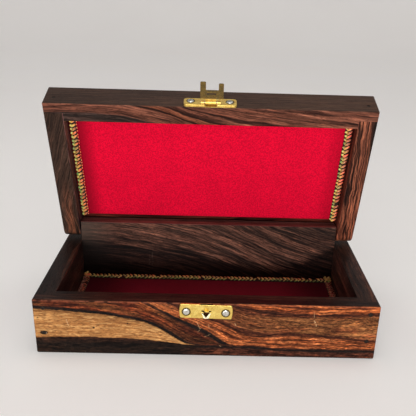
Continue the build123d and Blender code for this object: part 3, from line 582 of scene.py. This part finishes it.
def lid_left_figure(n, x, y, z, plain, s0, seed):
    """Fine diagonal grain on the rim, with an orange strip near the heel."""
    s = n.madd(n.step(y, 16.0, 44.0, 1.0, 0.3), n.mul(y, 0.32), x)
    w = n.noise(n.vec(n.mul(y, 1 / 18.0), n.mul(x, 1 / 6.0), 3.0), 1.0, 2.0)
    s = n.madd(n.sub(w, 0.5), 2.6, s)
    b = n.noise(n.vec(n.mul(s, 1 / 1.0), n.mul(y, 1 / 30.0), 6.1), 1.0, 2.0, 0.6)
    a = n.noise(n.vec(n.mul(s, 1 / 3.2), n.mul(y, 1 / 80.0), 9.1), 1.0, 2.0, 0.6)
    tone = n.madd(n.sub(a, 0.5), 0.9, n.madd(n.sub(b, 0.5), 1.2, 0.46))
    col = n.ramp(tone, [(0.0, srgb(28, 20, 17)), (0.35, srgb(50, 36, 29)), (0.60, srgb(70, 50, 41)), (1.0, srgb(104, 73, 58))])
    strip = n.mul(n.step(x, -99.4, -97.4), n.step(x, -94.6, -93.0, 1.0, 0.0))
    warm = n.mul(n.step(y, -2.0, 36.0), n.math("MAXIMUM", n.mul(strip, n.step(b, 0.38, 0.52)), n.step(b, 0.52, 0.64, 0.0, 0.6)))
    col = n.mix(n.mul(warm, 0.7), col, srgb(128, 76, 54))
    col, fa, fp = fibre(n, col, s, y, 1.9, 0.7, 0.5, 0.62, 11.0)
    # painted light: the inner face is lightened well past its wood colour to lift the shade it lies in
    inner = n.step(x, -90.9, -90.55)
    col = n.mix(inner, n.mix(n.step(z, 36.3, 37.2), col, plain), n.mix(1.0, plain, (2.1, 2.1, 3.2), "MULTIPLY"))
    return col


def lid_right_figure(n, x, y, z, plain, s0, seed):
    """Wavy dark streaks and orange ones along the rim; nearly black by the outer edge."""
    w = n.noise(n.vec(n.mul(y, 1 / 9.0), n.mul(x, 1 / 8.0), 3.0), 1.0, 2.0)
    s = n.madd(n.sub(w, 0.5), 3.0, n.madd(y, -0.03, x))
    a = n.noise(n.vec(n.mul(s, 1 / 1.9), n.mul(y, 1 / 60.0), 2.4), 1.0, 2.0, 0.6)
    b = n.noise(n.vec(n.mul(s, 1 / 0.8), n.mul(y, 1 / 26.0), 8.3), 1.0, 2.0, 0.6)
    tone = n.madd(n.sub(a, 0.5), 1.0, n.madd(n.sub(b, 0.5), 1.5, 0.58))
    col = n.ramp(tone, [(0.0, srgb(26, 15, 13)), (0.28, srgb(56, 31, 25)), (0.48, srgb(112, 64, 48)), (0.72, srgb(154, 90, 66)), (1.0, srgb(186, 118, 88))])
    for scale, at, off in ((2.6, 0.47, 5.0), (1.9, 0.55, 9.0)):
        q = n.noise(n.vec(n.mul(s, 1 / scale), n.mul(y, 1 / 80.0), off), 1.0, 0.0)
        col = n.mix(n.step(n.math("ABSOLUTE", n.sub(q, at)), 0.015, 0.075, 0.85, 0.0), col, srgb(24, 14, 12))
    col = n.mix(n.step(y, 4.0, 44.0, 0.0, 0.6), col, (1.5, 1.32, 1.2), "MULTIPLY")
    edge = n.mul(n.step(x, 98.8, 100.4), n.step(y, -40.0, 0.0, 0.9, 0.15))
    col = n.mix(edge, col, BLACK)
    col, fa, fp = fibre(n, col, s, y, 3.9, 0.6, 0.5, 0.62, 11.0)
    inner = n.step(x, 90.9, 90.55)
    col = n.mix(inner, n.mix(n.step(z, 36.3, 37.2), col, plain), n.mix(1.0, plain, (0.62, 0.55, 0.76), "MULTIPLY"))
    return col


def top_panel_figure(n, x, y, z, plain, s0, seed):
    """The underside is darker."""
    return n.mix(n.step(z, 51.0, 51.6), n.mix(1.0, plain, (0.46, 0.28, 0.38), "MULTIPLY"), plain)


def base_wall_figure(n, x, y, z, plain, s0, seed):
    """The inner faces are redder than the rims; fine dark and light grain."""
    ax = n.math("ABSOLUTE", x)
    col, fa, fp = fibre(n, plain, s0, y, seed + 5.0, 0.6, 0.5, 0.75, 9.0)
    col = n.mix(n.step(z, 35.2, 35.5), col, n.mix(1.0, col, (1.15, 1.0, 0.92), "MULTIPLY"))
    # painted light: the left rim is lightened towards the back, where the open lid shades it
    col = n.mix(n.mul(n.step(x, 0.0, -1.0), n.mul(n.step(y, -30.0, 46.0), n.step(z, 35.2, 35.5))), col, (1.6, 1.4, 1.22), "MULTIPLY")
    return n.mix(n.mul(n.step(ax, 90.2, 89.95), n.step(z, 35.2, 35.5, 1.0, 0.0)), col, n.mix(1.0, col, (2.7, 2.6, 2.8), "MULTIPLY"))


WOODS = {
    "base_front_board": wood("wood_base_front", "x", seed=1.0, tones="dim", kt=1.0, kc=0.5, warp=1.5, veins=0.6, light=0.56, dark=0.9, lines=0.8, figure=front_board_figure),
    "base_back_board": wood("wood_base_back", "x", seed=2.3, tones="dim", tilt=0.16, warp=3.5, kt=1.0, contrast=1.15, figure=back_board_figure),
    "base_left_board": wood("wood_base_left", "y", seed=3.7, tones="dim", kt=1.0, warp=2.0, light=0.72, figure=base_wall_figure),
    "base_right_board": wood("wood_base_right", "y", seed=4.9, tones="dim", kt=1.0, warp=2.5, light=0.72, figure=base_wall_figure),
    "base_bottom_panel": wood("wood_bottom", "p", seed=6.1, tones="red", kc=1.0, kt=0.4, warp=5.0),
    "lid_front_board": wood("wood_lid_front", "x", lid=True, seed=7.4, tones="red", tilt=0.10, kt=1.0, warp=2.2, figure=lid_front_figure),
    "lid_left_board": wood("wood_lid_left", "y", lid=True, seed=9.2, tones="dim", tilt=-0.25, kt=1.0, warp=3.0, figure=lid_left_figure),
    "lid_right_board": wood("wood_lid_right", "y", lid=True, seed=10.6, tones="red", kt=1.0, warp=1.6, contrast=1.2, figure=lid_right_figure),
    "lid_top_panel": wood("wood_lid_top", "p", lid=True, seed=12.2, tones="red", kc=1.0, kt=0.4, warp=6.0, figure=top_panel_figure),
}

# ---------------------------------------------------------------------------
# Metals
# ---------------------------------------------------------------------------


def brass(name, color, rough, wear=0.5, lid=False, rings=(), sheet=None, beak=False):
    n = Net(name)
    v, x, y, z = n.place(lid)
    cloud = n.noise(v, 0.55, 3.0, 0.6)
    pits = n.noise(v, 2.2, 2.0, 0.6)
    scr = n.noise(n.vec(n.mul(x, 0.35), n.mul(y, 4.0), n.mul(z, 4.0)), 1.0, 2.0)
    col = n.mix(n.step(cloud, 0.40, 0.70, 0.0, wear), color, tuple(c * k for c, k in zip(color, (0.62, 0.55, 0.42))))
    patch = n.noise(v, 0.32, 2.0, 0.6)
    col = n.mix(n.step(patch, 0.50, 0.60, 0.0, 0.7), col, tuple(min(1.0, c * k) for c, k in zip(color, (1.12, 1.22, 1.34))))
    col = n.mix(n.step(pits, 0.58, 0.70, 0.0, 0.6), col, srgb(104, 70, 28))
    for cx, cz, r in rings:
        dx, dz = n.sub(x, cx), n.sub(z, cz)
        dist = n.math("SQRT", n.add(n.mul(dx, dx), n.mul(dz, dz)))
        ring = n.mul(n.step(dist, r - 0.3, r + 0.05), n.step(dist, r + 0.35, r + 1.0, 1.0, 0.0))
        col = n.mix(n.mul(ring, 0.92), col, srgb(44, 32, 14))
    metal = 1.0
    if beak:
        # the beak is painted bright as a highlight; the V opening above it is painted dark as shade
        bright = n.mul(n.step(y, -54.15, -54.0, 1.0, 0.0), n.step(z, 30.3, 29.9))
        col = n.mix(n.mul(bright, 0.9), col, srgb(178, 170, 148))
        u, h = n.math("ABSOLUTE", n.add(x, 0.65)), n.sub(z, 30.65)
        vee = n.mul(n.step(n.sub(h, n.madd(u, 1.15, -3.3)), -0.15, 0.2), n.step(h, 0.1, 0.4, 1.0, 0.0))
        col = n.mix(n.mul(vee, bright), col, srgb(26, 18, 8))
        # painted shade inside the beak
        inside = n.mul(n.step(y, -53.66, -53.56), n.step(n.math("ABSOLUTE", n.add(x, 0.4)), 3.4, 4.0, 1.0, 0.0))
        col = n.mix(inside, col, srgb(30, 20, 9))
    if sheet:
        # the sheet away from the rolled knuckle is painted dark with pale flecks, a painted reflection of its dark
        # surroundings with painted highlights, and is made less metallic
        away = n.step(n.math("ABSOLUTE", n.sub(y, sheet)), 2.0, 3.0)
        sheet_painted_reflection = n.mix(n.step(cloud, 0.42, 0.60), srgb(38, 27, 9), srgb(90, 68, 25))
        sheet_painted_reflection = n.mix(n.step(pits, 0.52, 0.62, 0.0, 0.55), sheet_painted_reflection, srgb(150, 118, 54))
        col = n.mix(n.mul(away, 0.92), col, sheet_painted_reflection)
        metal = n.madd(away, -0.55, 1.0)
    r = n.madd(cloud, 0.25, rough - 0.10)
    r = n.madd(n.step(scr, 0.5, 0.7), 0.08, r)
    h = n.madd(pits, -0.6, n.mul(scr, 0.35))
    n.principled(Base_Color=col, Metallic=metal, Roughness=r, Normal=n.bump(h, 0.35, 0.00015))
    return n.mat


def steel(name, color, rough, dark):
    n = Net(name)
    v, x, y, z = n.place()
    cloud = n.noise(v, 1.6, 3.0, 0.6)
    col = n.mix(n.step(cloud, 0.45, 0.66, 0.0, 0.7), color, dark)
    n.principled(Base_Color=col, Metallic=1.0, Roughness=n.madd(cloud, 0.3, rough - 0.12), Normal=n.bump(cloud, 0.25, 0.0001))
    return n.mat


BRASS = srgb(230, 199, 108)
M_CATCH = brass("brass_catch", BRASS, 0.34, 0.62, beak=True, rings=((-12.15, 30.44, 2.0), (10.84, 29.96, 2.0)))
M_HASP_PLATE = brass("brass_hasp_plate", srgb(244, 206, 112), 0.40, 0.62, lid=True, rings=((-12.8, 40.55, 2.0), (11.0, 40.15, 2.0)))
M_HASP = brass("brass_hasp", srgb(240, 198, 100), 0.46, 0.5, lid=True, sheet=-54.9)
M_SCREW = steel("steel_screw", srgb(222, 222, 214), 0.26, srgb(112, 108, 100))
M_PIN = steel("steel_pin", srgb(150, 148, 142), 0.40, srgb(90, 86, 80))
M_NAIL = steel("steel_nail", srgb(52, 46, 42), 0.55, srgb(22, 18, 16))

# ---------------------------------------------------------------------------
# Velvet
# ---------------------------------------------------------------------------


def velvet(name, color, deep, lid, left=0.0, right=0.0, start=72.0, end=85.5):
    n = Net(name)
    v, x, y, z = n.place(lid)
    nap = n.noise(v, 1.15, 3.0, 0.65)
    fuzz = n.noise(v, 3.6, 2.0, 0.7)
    drift = n.noise(v, 0.045, 2.0)
    col = n.mix(n.step(nap, 0.38, 0.60, 0.52, 0.0), color, deep)
    col = n.mix(n.step(drift, 0.35, 0.65, 0.10, 0.0), col, deep)
    # painted shade: the velvet is darker beside the braid
    col = n.mix(n.step(x, -end, -start, left, 0.0), col, deep)
    col = n.mix(n.step(x, start, end, 0.0, right), col, deep)
    h = n.add(n.mul(nap, 0.7), n.mul(fuzz, 0.5))
    n.principled(
        Base_Color=col, Roughness=0.92, Specular_IOR_Level=0.08, Sheen_Weight=0.25,
        Sheen_Roughness=0.45, Sheen_Tint=(*color, 1.0), Normal=n.bump(h, 0.55, 0.00035),
    )
    return n.mat


M_RED = velvet("velvet_lid", srgb(234, 8, 52), srgb(140, 4, 30), True, left=0.95, right=0.45)
# the floor velvet is a darker copy of the lid's velvet: painted shade for the inside of the tray
M_VELVET_FLOOR_SHADED = velvet("velvet_floor", srgb(124, 26, 42), srgb(58, 10, 20), False, left=0.85, right=0.85, start=45.0, end=80.0)


def mesh_object(name, verts, faces, mats, smooth=True):
    me = bpy.data.meshes.new(name)
    me.from_pydata([tuple(v) for v in verts], [], faces)
    me.update()
    ob = bpy.data.objects.new(name, me)
    scene.collection.objects.link(ob)
    for m in mats:
        me.materials.append(m)
    if smooth:
        me.polygons.foreach_set("use_smooth", [True] * len(me.polygons))
    return ob


def opened(p):
    """Closed place to the place in the open lid, mm."""
    dy, dz = p[1] - AY, p[2] - AZ
    return (p[0], AY + dy * CO + dz * SO, AZ - dy * SO + dz * CO)


def to_m(p):
    return (p[0] * MM, p[1] * MM, p[2] * MM)


def pad(name, hx, hy, z_back, z_face, mat, body, node, lid, seed, y_mid=0.0):
    """A velvet-covered card: soft rolled edges and a face that isn't quite flat."""
    sign = 1.0 if z_face > z_back else -1.0
    thick = abs(z_face - z_back)
    nx, ny = 128, 60
    rng = random.Random(seed)
    waves = [(rng.uniform(-0.06, 0.06), rng.uniform(-0.08, 0.08), rng.uniform(0, 6.28), rng.uniform(0.02, 0.07)) for _ in range(9)]

    def axis(h, k):
        # closer lines near the edge
        out = []
        for i in range(k + 1):
            t = -1 + 2 * i / k
            out.append(h * math.copysign(1 - (1 - abs(t)) ** 1.35, t) if abs(t) < 1 else h * t)
        return out

    xs, ys = axis(hx, nx), axis(hy, ny)

    def height(x, y):
        e = min(hx - abs(x), hy - abs(y))
        r = 1.5
        roll = 0.0 if e >= r else r - math.sqrt(max(0.0, r * r - (r - e) ** 2))
        soft = 0.22 * math.exp(-max(e, 0) / 4.0)
        w = sum(a * math.sin(fx * x + fy * y + p) for fx, fy, p, a in waves)
        return thick - 0.12 - roll - soft + w * min(1.0, e / 6.0) * 0.8

    verts, faces = [], []
    for y in ys:
        for x in xs:
            h = max(0.25, min(thick, height(x, y)))
            verts.append((x, y + y_mid, z_back + sign * h))
    w = nx + 1
    for j in range(ny):
        for i in range(nx):
            q = [j * w + i, j * w + i + 1, (j + 1) * w + i + 1, (j + 1) * w + i]
            faces.append(q if sign > 0 else q[::-1])
    # sides and back
    ring = [i for i in range(w)] + [j * w + nx for j in range(1, ny + 1)] + [ny * w + i for i in range(nx - 1, -1, -1)] + [j * w for j in range(ny - 1, 0, -1)]
    base = len(verts)
    for r in ring:
        verts.append((verts[r][0], verts[r][1], z_back))
    k = len(ring)
    for i in range(k):
        q = [ring[i], base + i, base + (i + 1) % k, ring[(i + 1) % k]]
        faces.append(q if sign > 0 else q[::-1])
    cap = [base + i for i in range(k)]
    faces.append(cap[::-1] if sign > 0 else cap)
    if lid:
        verts = [opened(p) for p in verts]
    ob = mesh_object(name, [to_m(p) for p in verts], faces, [mat])
    ob.data.polygons[len(ob.data.polygons) - 1].use_smooth = False
    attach(ob, body)
    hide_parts(node)
    return ob


pad("lid_velvet_pad", 90.3, 38.9, 47.05, 44.75, M_RED, "lid", "lid_lining", True, 5, y_mid=-1.7)
pad("floor_velvet_pad", 89.6, 40.6, 6.4, 8.7, M_VELVET_FLOOR_SHADED, "base", "base_floor_lining", False, 9)

# ---------------------------------------------------------------------------
# Braid: chevrons of three threads to an arm, on a narrow dark tape
# ---------------------------------------------------------------------------


def braid_material(name, stops, metal):
    n = Net(name)
    at = n.node("ShaderNodeAttribute", attribute_name="across").outputs["Fac"]
    tint = n.node("ShaderNodeAttribute", attribute_name="tint").outputs["Fac"]
    v = n.place()[0]
    wob = n.noise(v, 0.22, 2.0)
    a = n.madd(n.sub(wob, 0.5), 0.6, at)
    col = n.ramp(a, stops)
    col = n.mix(n.step(tint, 0.0, 0.8, 0.6, 0.0), col, srgb(70, 44, 16))
    glint = n.noise(v, 4.5, 2.0, 0.6)
    col = n.mix(n.step(glint, 0.55, 0.66, 0.0, 0.8), col, srgb(255, 240, 186))
    n.principled(Base_Color=col, Metallic=metal, Roughness=n.madd(glint, 0.3, 0.24), Specular_IOR_Level=0.8, Normal=n.bump(n.noise(v, 9.0, 1.0), 0.4, 0.0001))
    return n.mat


def tape_material():
    n = Net("braid_tape")
    v = n.place()[0]
    w = n.noise(v, 3.0, 2.0)
    col = n.mix(w, srgb(22, 12, 7), srgb(58, 30, 16))
    n.principled(Base_Color=col, Roughness=0.8, Normal=n.bump(w, 0.4, 0.0002))
    return n.mat


M_BRAID = braid_material("braid_thread", [
    (0.00, srgb(44, 112, 48)), (0.18, srgb(126, 178, 84)), (0.32, srgb(228, 222, 118)),
    (0.46, srgb(238, 192, 84)), (0.62, srgb(232, 150, 70)), (0.80, srgb(255, 112, 62)), (1.00, srgb(250, 70, 52)),
], 0.2)
# a brighter copy of the braid thread: painted light for the back and front runs in the tray's shade
M_BRAID_FLOOR_LIT = braid_material("braid_thread_floor", [
    (0.00, srgb(60, 120, 44)), (0.22, srgb(150, 170, 70)), (0.38, srgb(255, 214, 120)),
    (0.60, srgb(255, 206, 112)), (0.80, srgb(255, 150, 76)), (1.00, srgb(255, 96, 54)),
], 0.0)
# a dim, redder copy of the braid thread: painted shade for the side runs
M_BRAID_SIDE_SHADED = braid_material("braid_thread_side", [
    (0.00, srgb(48, 44, 24)), (0.34, srgb(120, 66, 36)), (0.54, srgb(186, 74, 42)),
    (0.76, srgb(160, 40, 30)), (1.00, srgb(124, 20, 22)),
], 0.0)
M_TAPE = tape_material()


def tube(verts, faces, pts, radius, sides, across, tint, attr_a, attr_t, frame_n):
    """A short thread with rounded ends through pts."""
    base = len(verts)
    k = len(pts)
    for i, p in enumerate(pts):
        a = Vector(pts[max(0, i - 1)])
        b = Vector(pts[min(k - 1, i + 1)])
        d = (b - a).normalized()
        s1 = d.cross(frame_n)
        s1 = s1.normalized() if s1.length > 1e-6 else Vector((1, 0, 0))
        s2 = s1.cross(d)
        e = i / (k - 1)
        r = radius * math.sqrt(max(0.06, 1 - (2 * e - 1) ** 6))
        for j in range(sides):
            t = 2 * math.pi * j / sides
            verts.append(Vector(p) + (s1 * math.cos(t) + s2 * math.sin(t)) * r)
            attr_a.append(across[i])
            attr_t.append(tint)
    for i in range(k - 1):
        for j in range(sides):
            q = base + i * sides
            faces.append([q + j, q + (j + 1) % sides, q + sides + (j + 1) % sides, q + sides + j])
    faces.append([base + j for j in range(sides)][::-1])
    faces.append([base + (k - 1) * sides + j for j in range(sides)])


def braid(name, start, along, red, normal, length, width, body, node, lid, seed, bunch=(False, False), lean=0.0, edge=0, loose=0.03, mat=None, centre=0.0, inset=0.25, hue=0.0, trim=0.25):
    """Runs from start, on the strip's middle line; the chevrons point along."""
    rng = random.Random(seed)
    A, R, N = Vector(along), Vector(red), Vector(normal)
    P0 = Vector(start)
    pitch = 2.7
    count = int(length / pitch)
    pitch = length / count
    half = width / 2
    strands = (-1.5, -0.5, 0.5, 1.5) if centre else (-1, 0, 1)
    verts, faces, aa, tt = [], [], [], []
    drift = [rng.uniform(-0.15, 0.15) for _ in range(count + 3)]

    def point(u, w, h):
        # the strip wanders a little from its line
        k = max(0.0, min(count - 1e-3, u / pitch))
        i = int(k)
        off = drift[i] * (1 - (k - i)) + drift[i + 1] * (k - i)
        # the outer half stands up along the wall
        up = lean * max(0.0, min(1.0, (w + half) / (2 * half))) ** 1.6
        return P0 + A * u + R * (w + off) + N * (h + up)

    def arm(u, side, lift):
        if rng.random() < loose:
            return
        tone = rng.choice((0.0, 0.25, 0.7, 0.9, 1.0))
        tint = rng.uniform(-0.16, 0.16)
        reach = 0.40 * pitch * rng.uniform(0.80, 1.2)
        if centre and side < 0:
            reach *= 0.35
        lift += rng.uniform(-0.15, 0.35)
        slip = rng.uniform(-0.22, 0.22)
        fat = rng.uniform(0.26, 0.34)
        for s in strands:
            pts, across = [], []
            for i in range(8):
                e = i / 7
                w = side * (half - (inset if side > 0 else trim)) * (1 - e) + (centre - side * 0.35) * e
                uu = u - reach + 2 * reach * e
                spread = 0.36 * s * math.cos(1.1 * (e - 0.5) * 2)
                twist = 0.16 * s * math.sin(2.4 * (e - 0.3))
                h = 0.28 + (0.52 + lift) * math.sin(math.pi * min(1.0, 0.16 + 0.72 * e)) ** 0.8 + twist + (0.08 if s == 0 else 0)
                pts.append(point(uu + slip + spread * 0.75, w + side * spread * 0.35, h))
                across.append(0.5 + w / width + tint + hue)
            tube(verts, faces, pts, fat, 6, across, max(0.0, min(1.0, tone + 0.25 * s)), aa, tt, N)

    for i in range(count):
        u = (i + 0.5) * pitch
        arm(u, -1, 0.0)
        arm(u + 0.12 * pitch, 1, 0.07)
    # a row of small loops along one edge
    if edge:
        u = 0.4
        while u < length - 0.6:
            size = rng.uniform(0.3, 0.6)
            out = edge * (half + 0.05 + rng.uniform(-0.10, 0.15))
            pts = [point(u + size * (2 * e - 1), out + edge * 0.12 * math.sin(math.pi * e), 0.42 + 0.6 * math.sin(math.pi * e)) for e in (0.0, 0.2, 0.4, 0.6, 0.8, 1.0)]
            tube(verts, faces, pts, 0.38, 6, [rng.uniform(0.74, 0.92)] * 6, 1.0, aa, tt, N)
            u += rng.uniform(1.7, 2.6)
    # where two runs meet, the braid is folded over and stands up in a bunch
    for end, want in ((0, bunch[0]), (1, bunch[1])):
        if not want:
            continue
        for k in range(7):
            u = rng.uniform(-0.2, 3.6) if end == 0 else length - rng.uniform(-0.2, 3.6)
            w = rng.uniform(-half + 0.4, half - 0.5)
            top = rng.uniform(1.2, 3.0)
            du, dw = rng.uniform(-1.3, 1.3), rng.uniform(-1.1, 1.1)
            tone = rng.uniform(0.4, 1.0)
            colour = rng.uniform(0.3, 1.0)
            for s in (-1, 0, 1):
                pts = []
                for i in range(8):
                    e = i / 7
                    pts.append(P0 + A * (u + du * e + 0.3 * s) + R * (w + dw * e + 0.2 * s) + N * (0.4 + top * math.sin(math.pi * (0.1 + 0.75 * e))))
                tube(verts, faces, pts, 0.24, 6, [colour] * 8, tone, aa, tt, N)
    if lid:
        verts = [opened(p) for p in verts]
    ob = mesh_object(name, [to_m(p) for p in verts], faces, [mat or M_BRAID])
    for key, data in (("across", aa), ("tint", tt)):
        at = ob.data.attributes.new(key, "FLOAT", "POINT")
        at.data.foreach_set("value", data)
    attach(ob, body)
    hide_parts(node)

    # tape under the threads
    tv, tf = [], []
    steps = count * 2
    cross = [(-half + trim - 0.25, 0.02), (-half + trim + 0.1, 0.28), (0, 0.38), (half - 0.35, 0.28), (half, 0.02)]
    for i in range(steps + 1):
        u = length * i / steps
        for w, h in cross:
            tv.append(point(u, w * 0.9, h))
    m = len(cross)
    for i in range(steps):
        for j in range(m - 1):
            q = i * m + j
            tf.append([q, q + m, q + m + 1, q + 1])
        q = i * m
        tf.append([q, q + m - 1, q + 2 * m - 1, q + m])
    tf.append([j for j in range(m)])
    tf.append([steps * m + j for j in range(m)][::-1])
    if lid:
        tv = [opened(p) for p in tv]
    tape = mesh_object(name + "_tape", [to_m(p) for p in tv], tf, [M_TAPE])
    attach(tape, body)
    return ob


TW = 5.2
LX = 90.5 - 0.3
TY = 40.8 - 0.3
TB = 37.2 - 0.3                # back end of the lid's braid
TX = 89.8 - 0.3
LZ = 44.75
FZ = 8.7
braid("lid_braid_left", (-LX + TW / 2, -TY, LZ), (0, 1, 0), (1, 0, 0), (0, 0, -1), TY + TB, TW, "lid", "lid_trim_left", True, 1, edge=1, loose=0.0, centre=-0.8, inset=0.6, trim=0.95, hue=0.02)
braid("lid_braid_right", (LX - TW / 2, -TY, LZ), (0, 1, 0), (1, 0, 0), (0, 0, -1), TY + TB, TW, "lid", "lid_trim_right", True, 2, loose=0.01, centre=-0.9, inset=0.3, hue=0.14)
braid("floor_braid_back", (-TX, TY - TW / 2, FZ), (1, 0, 0), (0, 1, 0), (0, 0, 1), 2 * TX, TW, "base", "base_trim_back", False, 4, (True, True), lean=0.5, mat=M_BRAID_FLOOR_LIT, hue=0.07)
braid("floor_braid_front", (TX, -TY + TW / 2, FZ), (-1, 0, 0), (0, -1, 0), (0, 0, 1), 2 * TX, TW, "base", "base_trim_front", False, 5, (True, True), lean=0.3, mat=M_BRAID_FLOOR_LIT)
braid("floor_braid_left", (-TX + TW / 2, -TY + TW + 0.1, FZ), (0, 1, 0), (-1, 0, 0), (0, 0, 1), 2 * (TY - TW - 0.1), TW, "base", "base_trim_left", False, 6, lean=0.6, mat=M_BRAID_SIDE_SHADED, hue=0.28)
braid("floor_braid_right", (TX - TW / 2, TY - TW - 0.1, FZ), (0, -1, 0), (1, 0, 0), (0, 0, 1), 2 * (TY - TW - 0.1), TW, "base", "base_trim_right", False, 7, lean=0.6, mat=M_BRAID_SIDE_SHADED, hue=0.28)

# ---------------------------------------------------------------------------
# Materials of the CAD nodes
# ---------------------------------------------------------------------------

FINISH = dict(WOODS)
FINISH.update({
    "catch_plate": M_CATCH,
    "hasp_plate": M_HASP_PLATE,
    "hasp": M_HASP,
    "hasp_pin": M_PIN,
    "catch_plate_screws": M_SCREW,
    "hasp_plate_screws": M_SCREW,
    "base_front_nails": M_NAIL,
    "base_back_nails": M_NAIL,
    "base_bottom_pins": M_NAIL,
    "lid_front_nails": M_NAIL,
    "pivot_pin_left": M_NAIL,
    "pivot_pin_right": M_NAIL,
})
for node, mat in FINISH.items():
    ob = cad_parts[node]
    ob.data.materials.clear()
    ob.data.materials.append(mat)

# ---------------------------------------------------------------------------
# Floor
# ---------------------------------------------------------------------------


def floor():
    n = Net("floor")
    v = n.place()[0]
    soft = n.noise(v, 0.004, 2.0)
    col = n.mix(soft, srgb(234, 231, 228), srgb(228, 224, 221))
    n.principled(Base_Color=col, Roughness=0.8, Specular_IOR_Level=0.15, Emission_Color=(0.80, 0.785, 0.77, 1.0), Emission_Strength=0.28)
    # a round studio sweep: flat, then curving up on all sides
    profile = [(0.0, 0.0), (0.4, 0.0), (1.0, 0.0), (1.8, 0.0)]
    profile += [(1.8 + 0.9 * math.sin(a), 0.9 - 0.9 * math.cos(a)) for a in (math.radians(9 * k) for k in range(1, 11))]
    profile += [(2.7, 1.6), (2.7, 2.6)]
    seg = 72
    verts = [(0.0, 0.0, -0.0001)]
    faces = []
    for r, h in profile[1:]:
        verts += [(r * math.cos(2 * math.pi * i / seg), r * math.sin(2 * math.pi * i / seg), h - 0.0001) for i in range(seg)]
    for i in range(seg):
        faces.append([0, 1 + i, 1 + (i + 1) % seg])
    for k in range(len(profile) - 2):
        a, b = 1 + k * seg, 1 + (k + 1) * seg
        for i in range(seg):
            j = (i + 1) % seg
            faces.append([a + i, b + i, b + j, a + j])
    ob = mesh_object("floor", verts, faces, [n.mat])


floor()
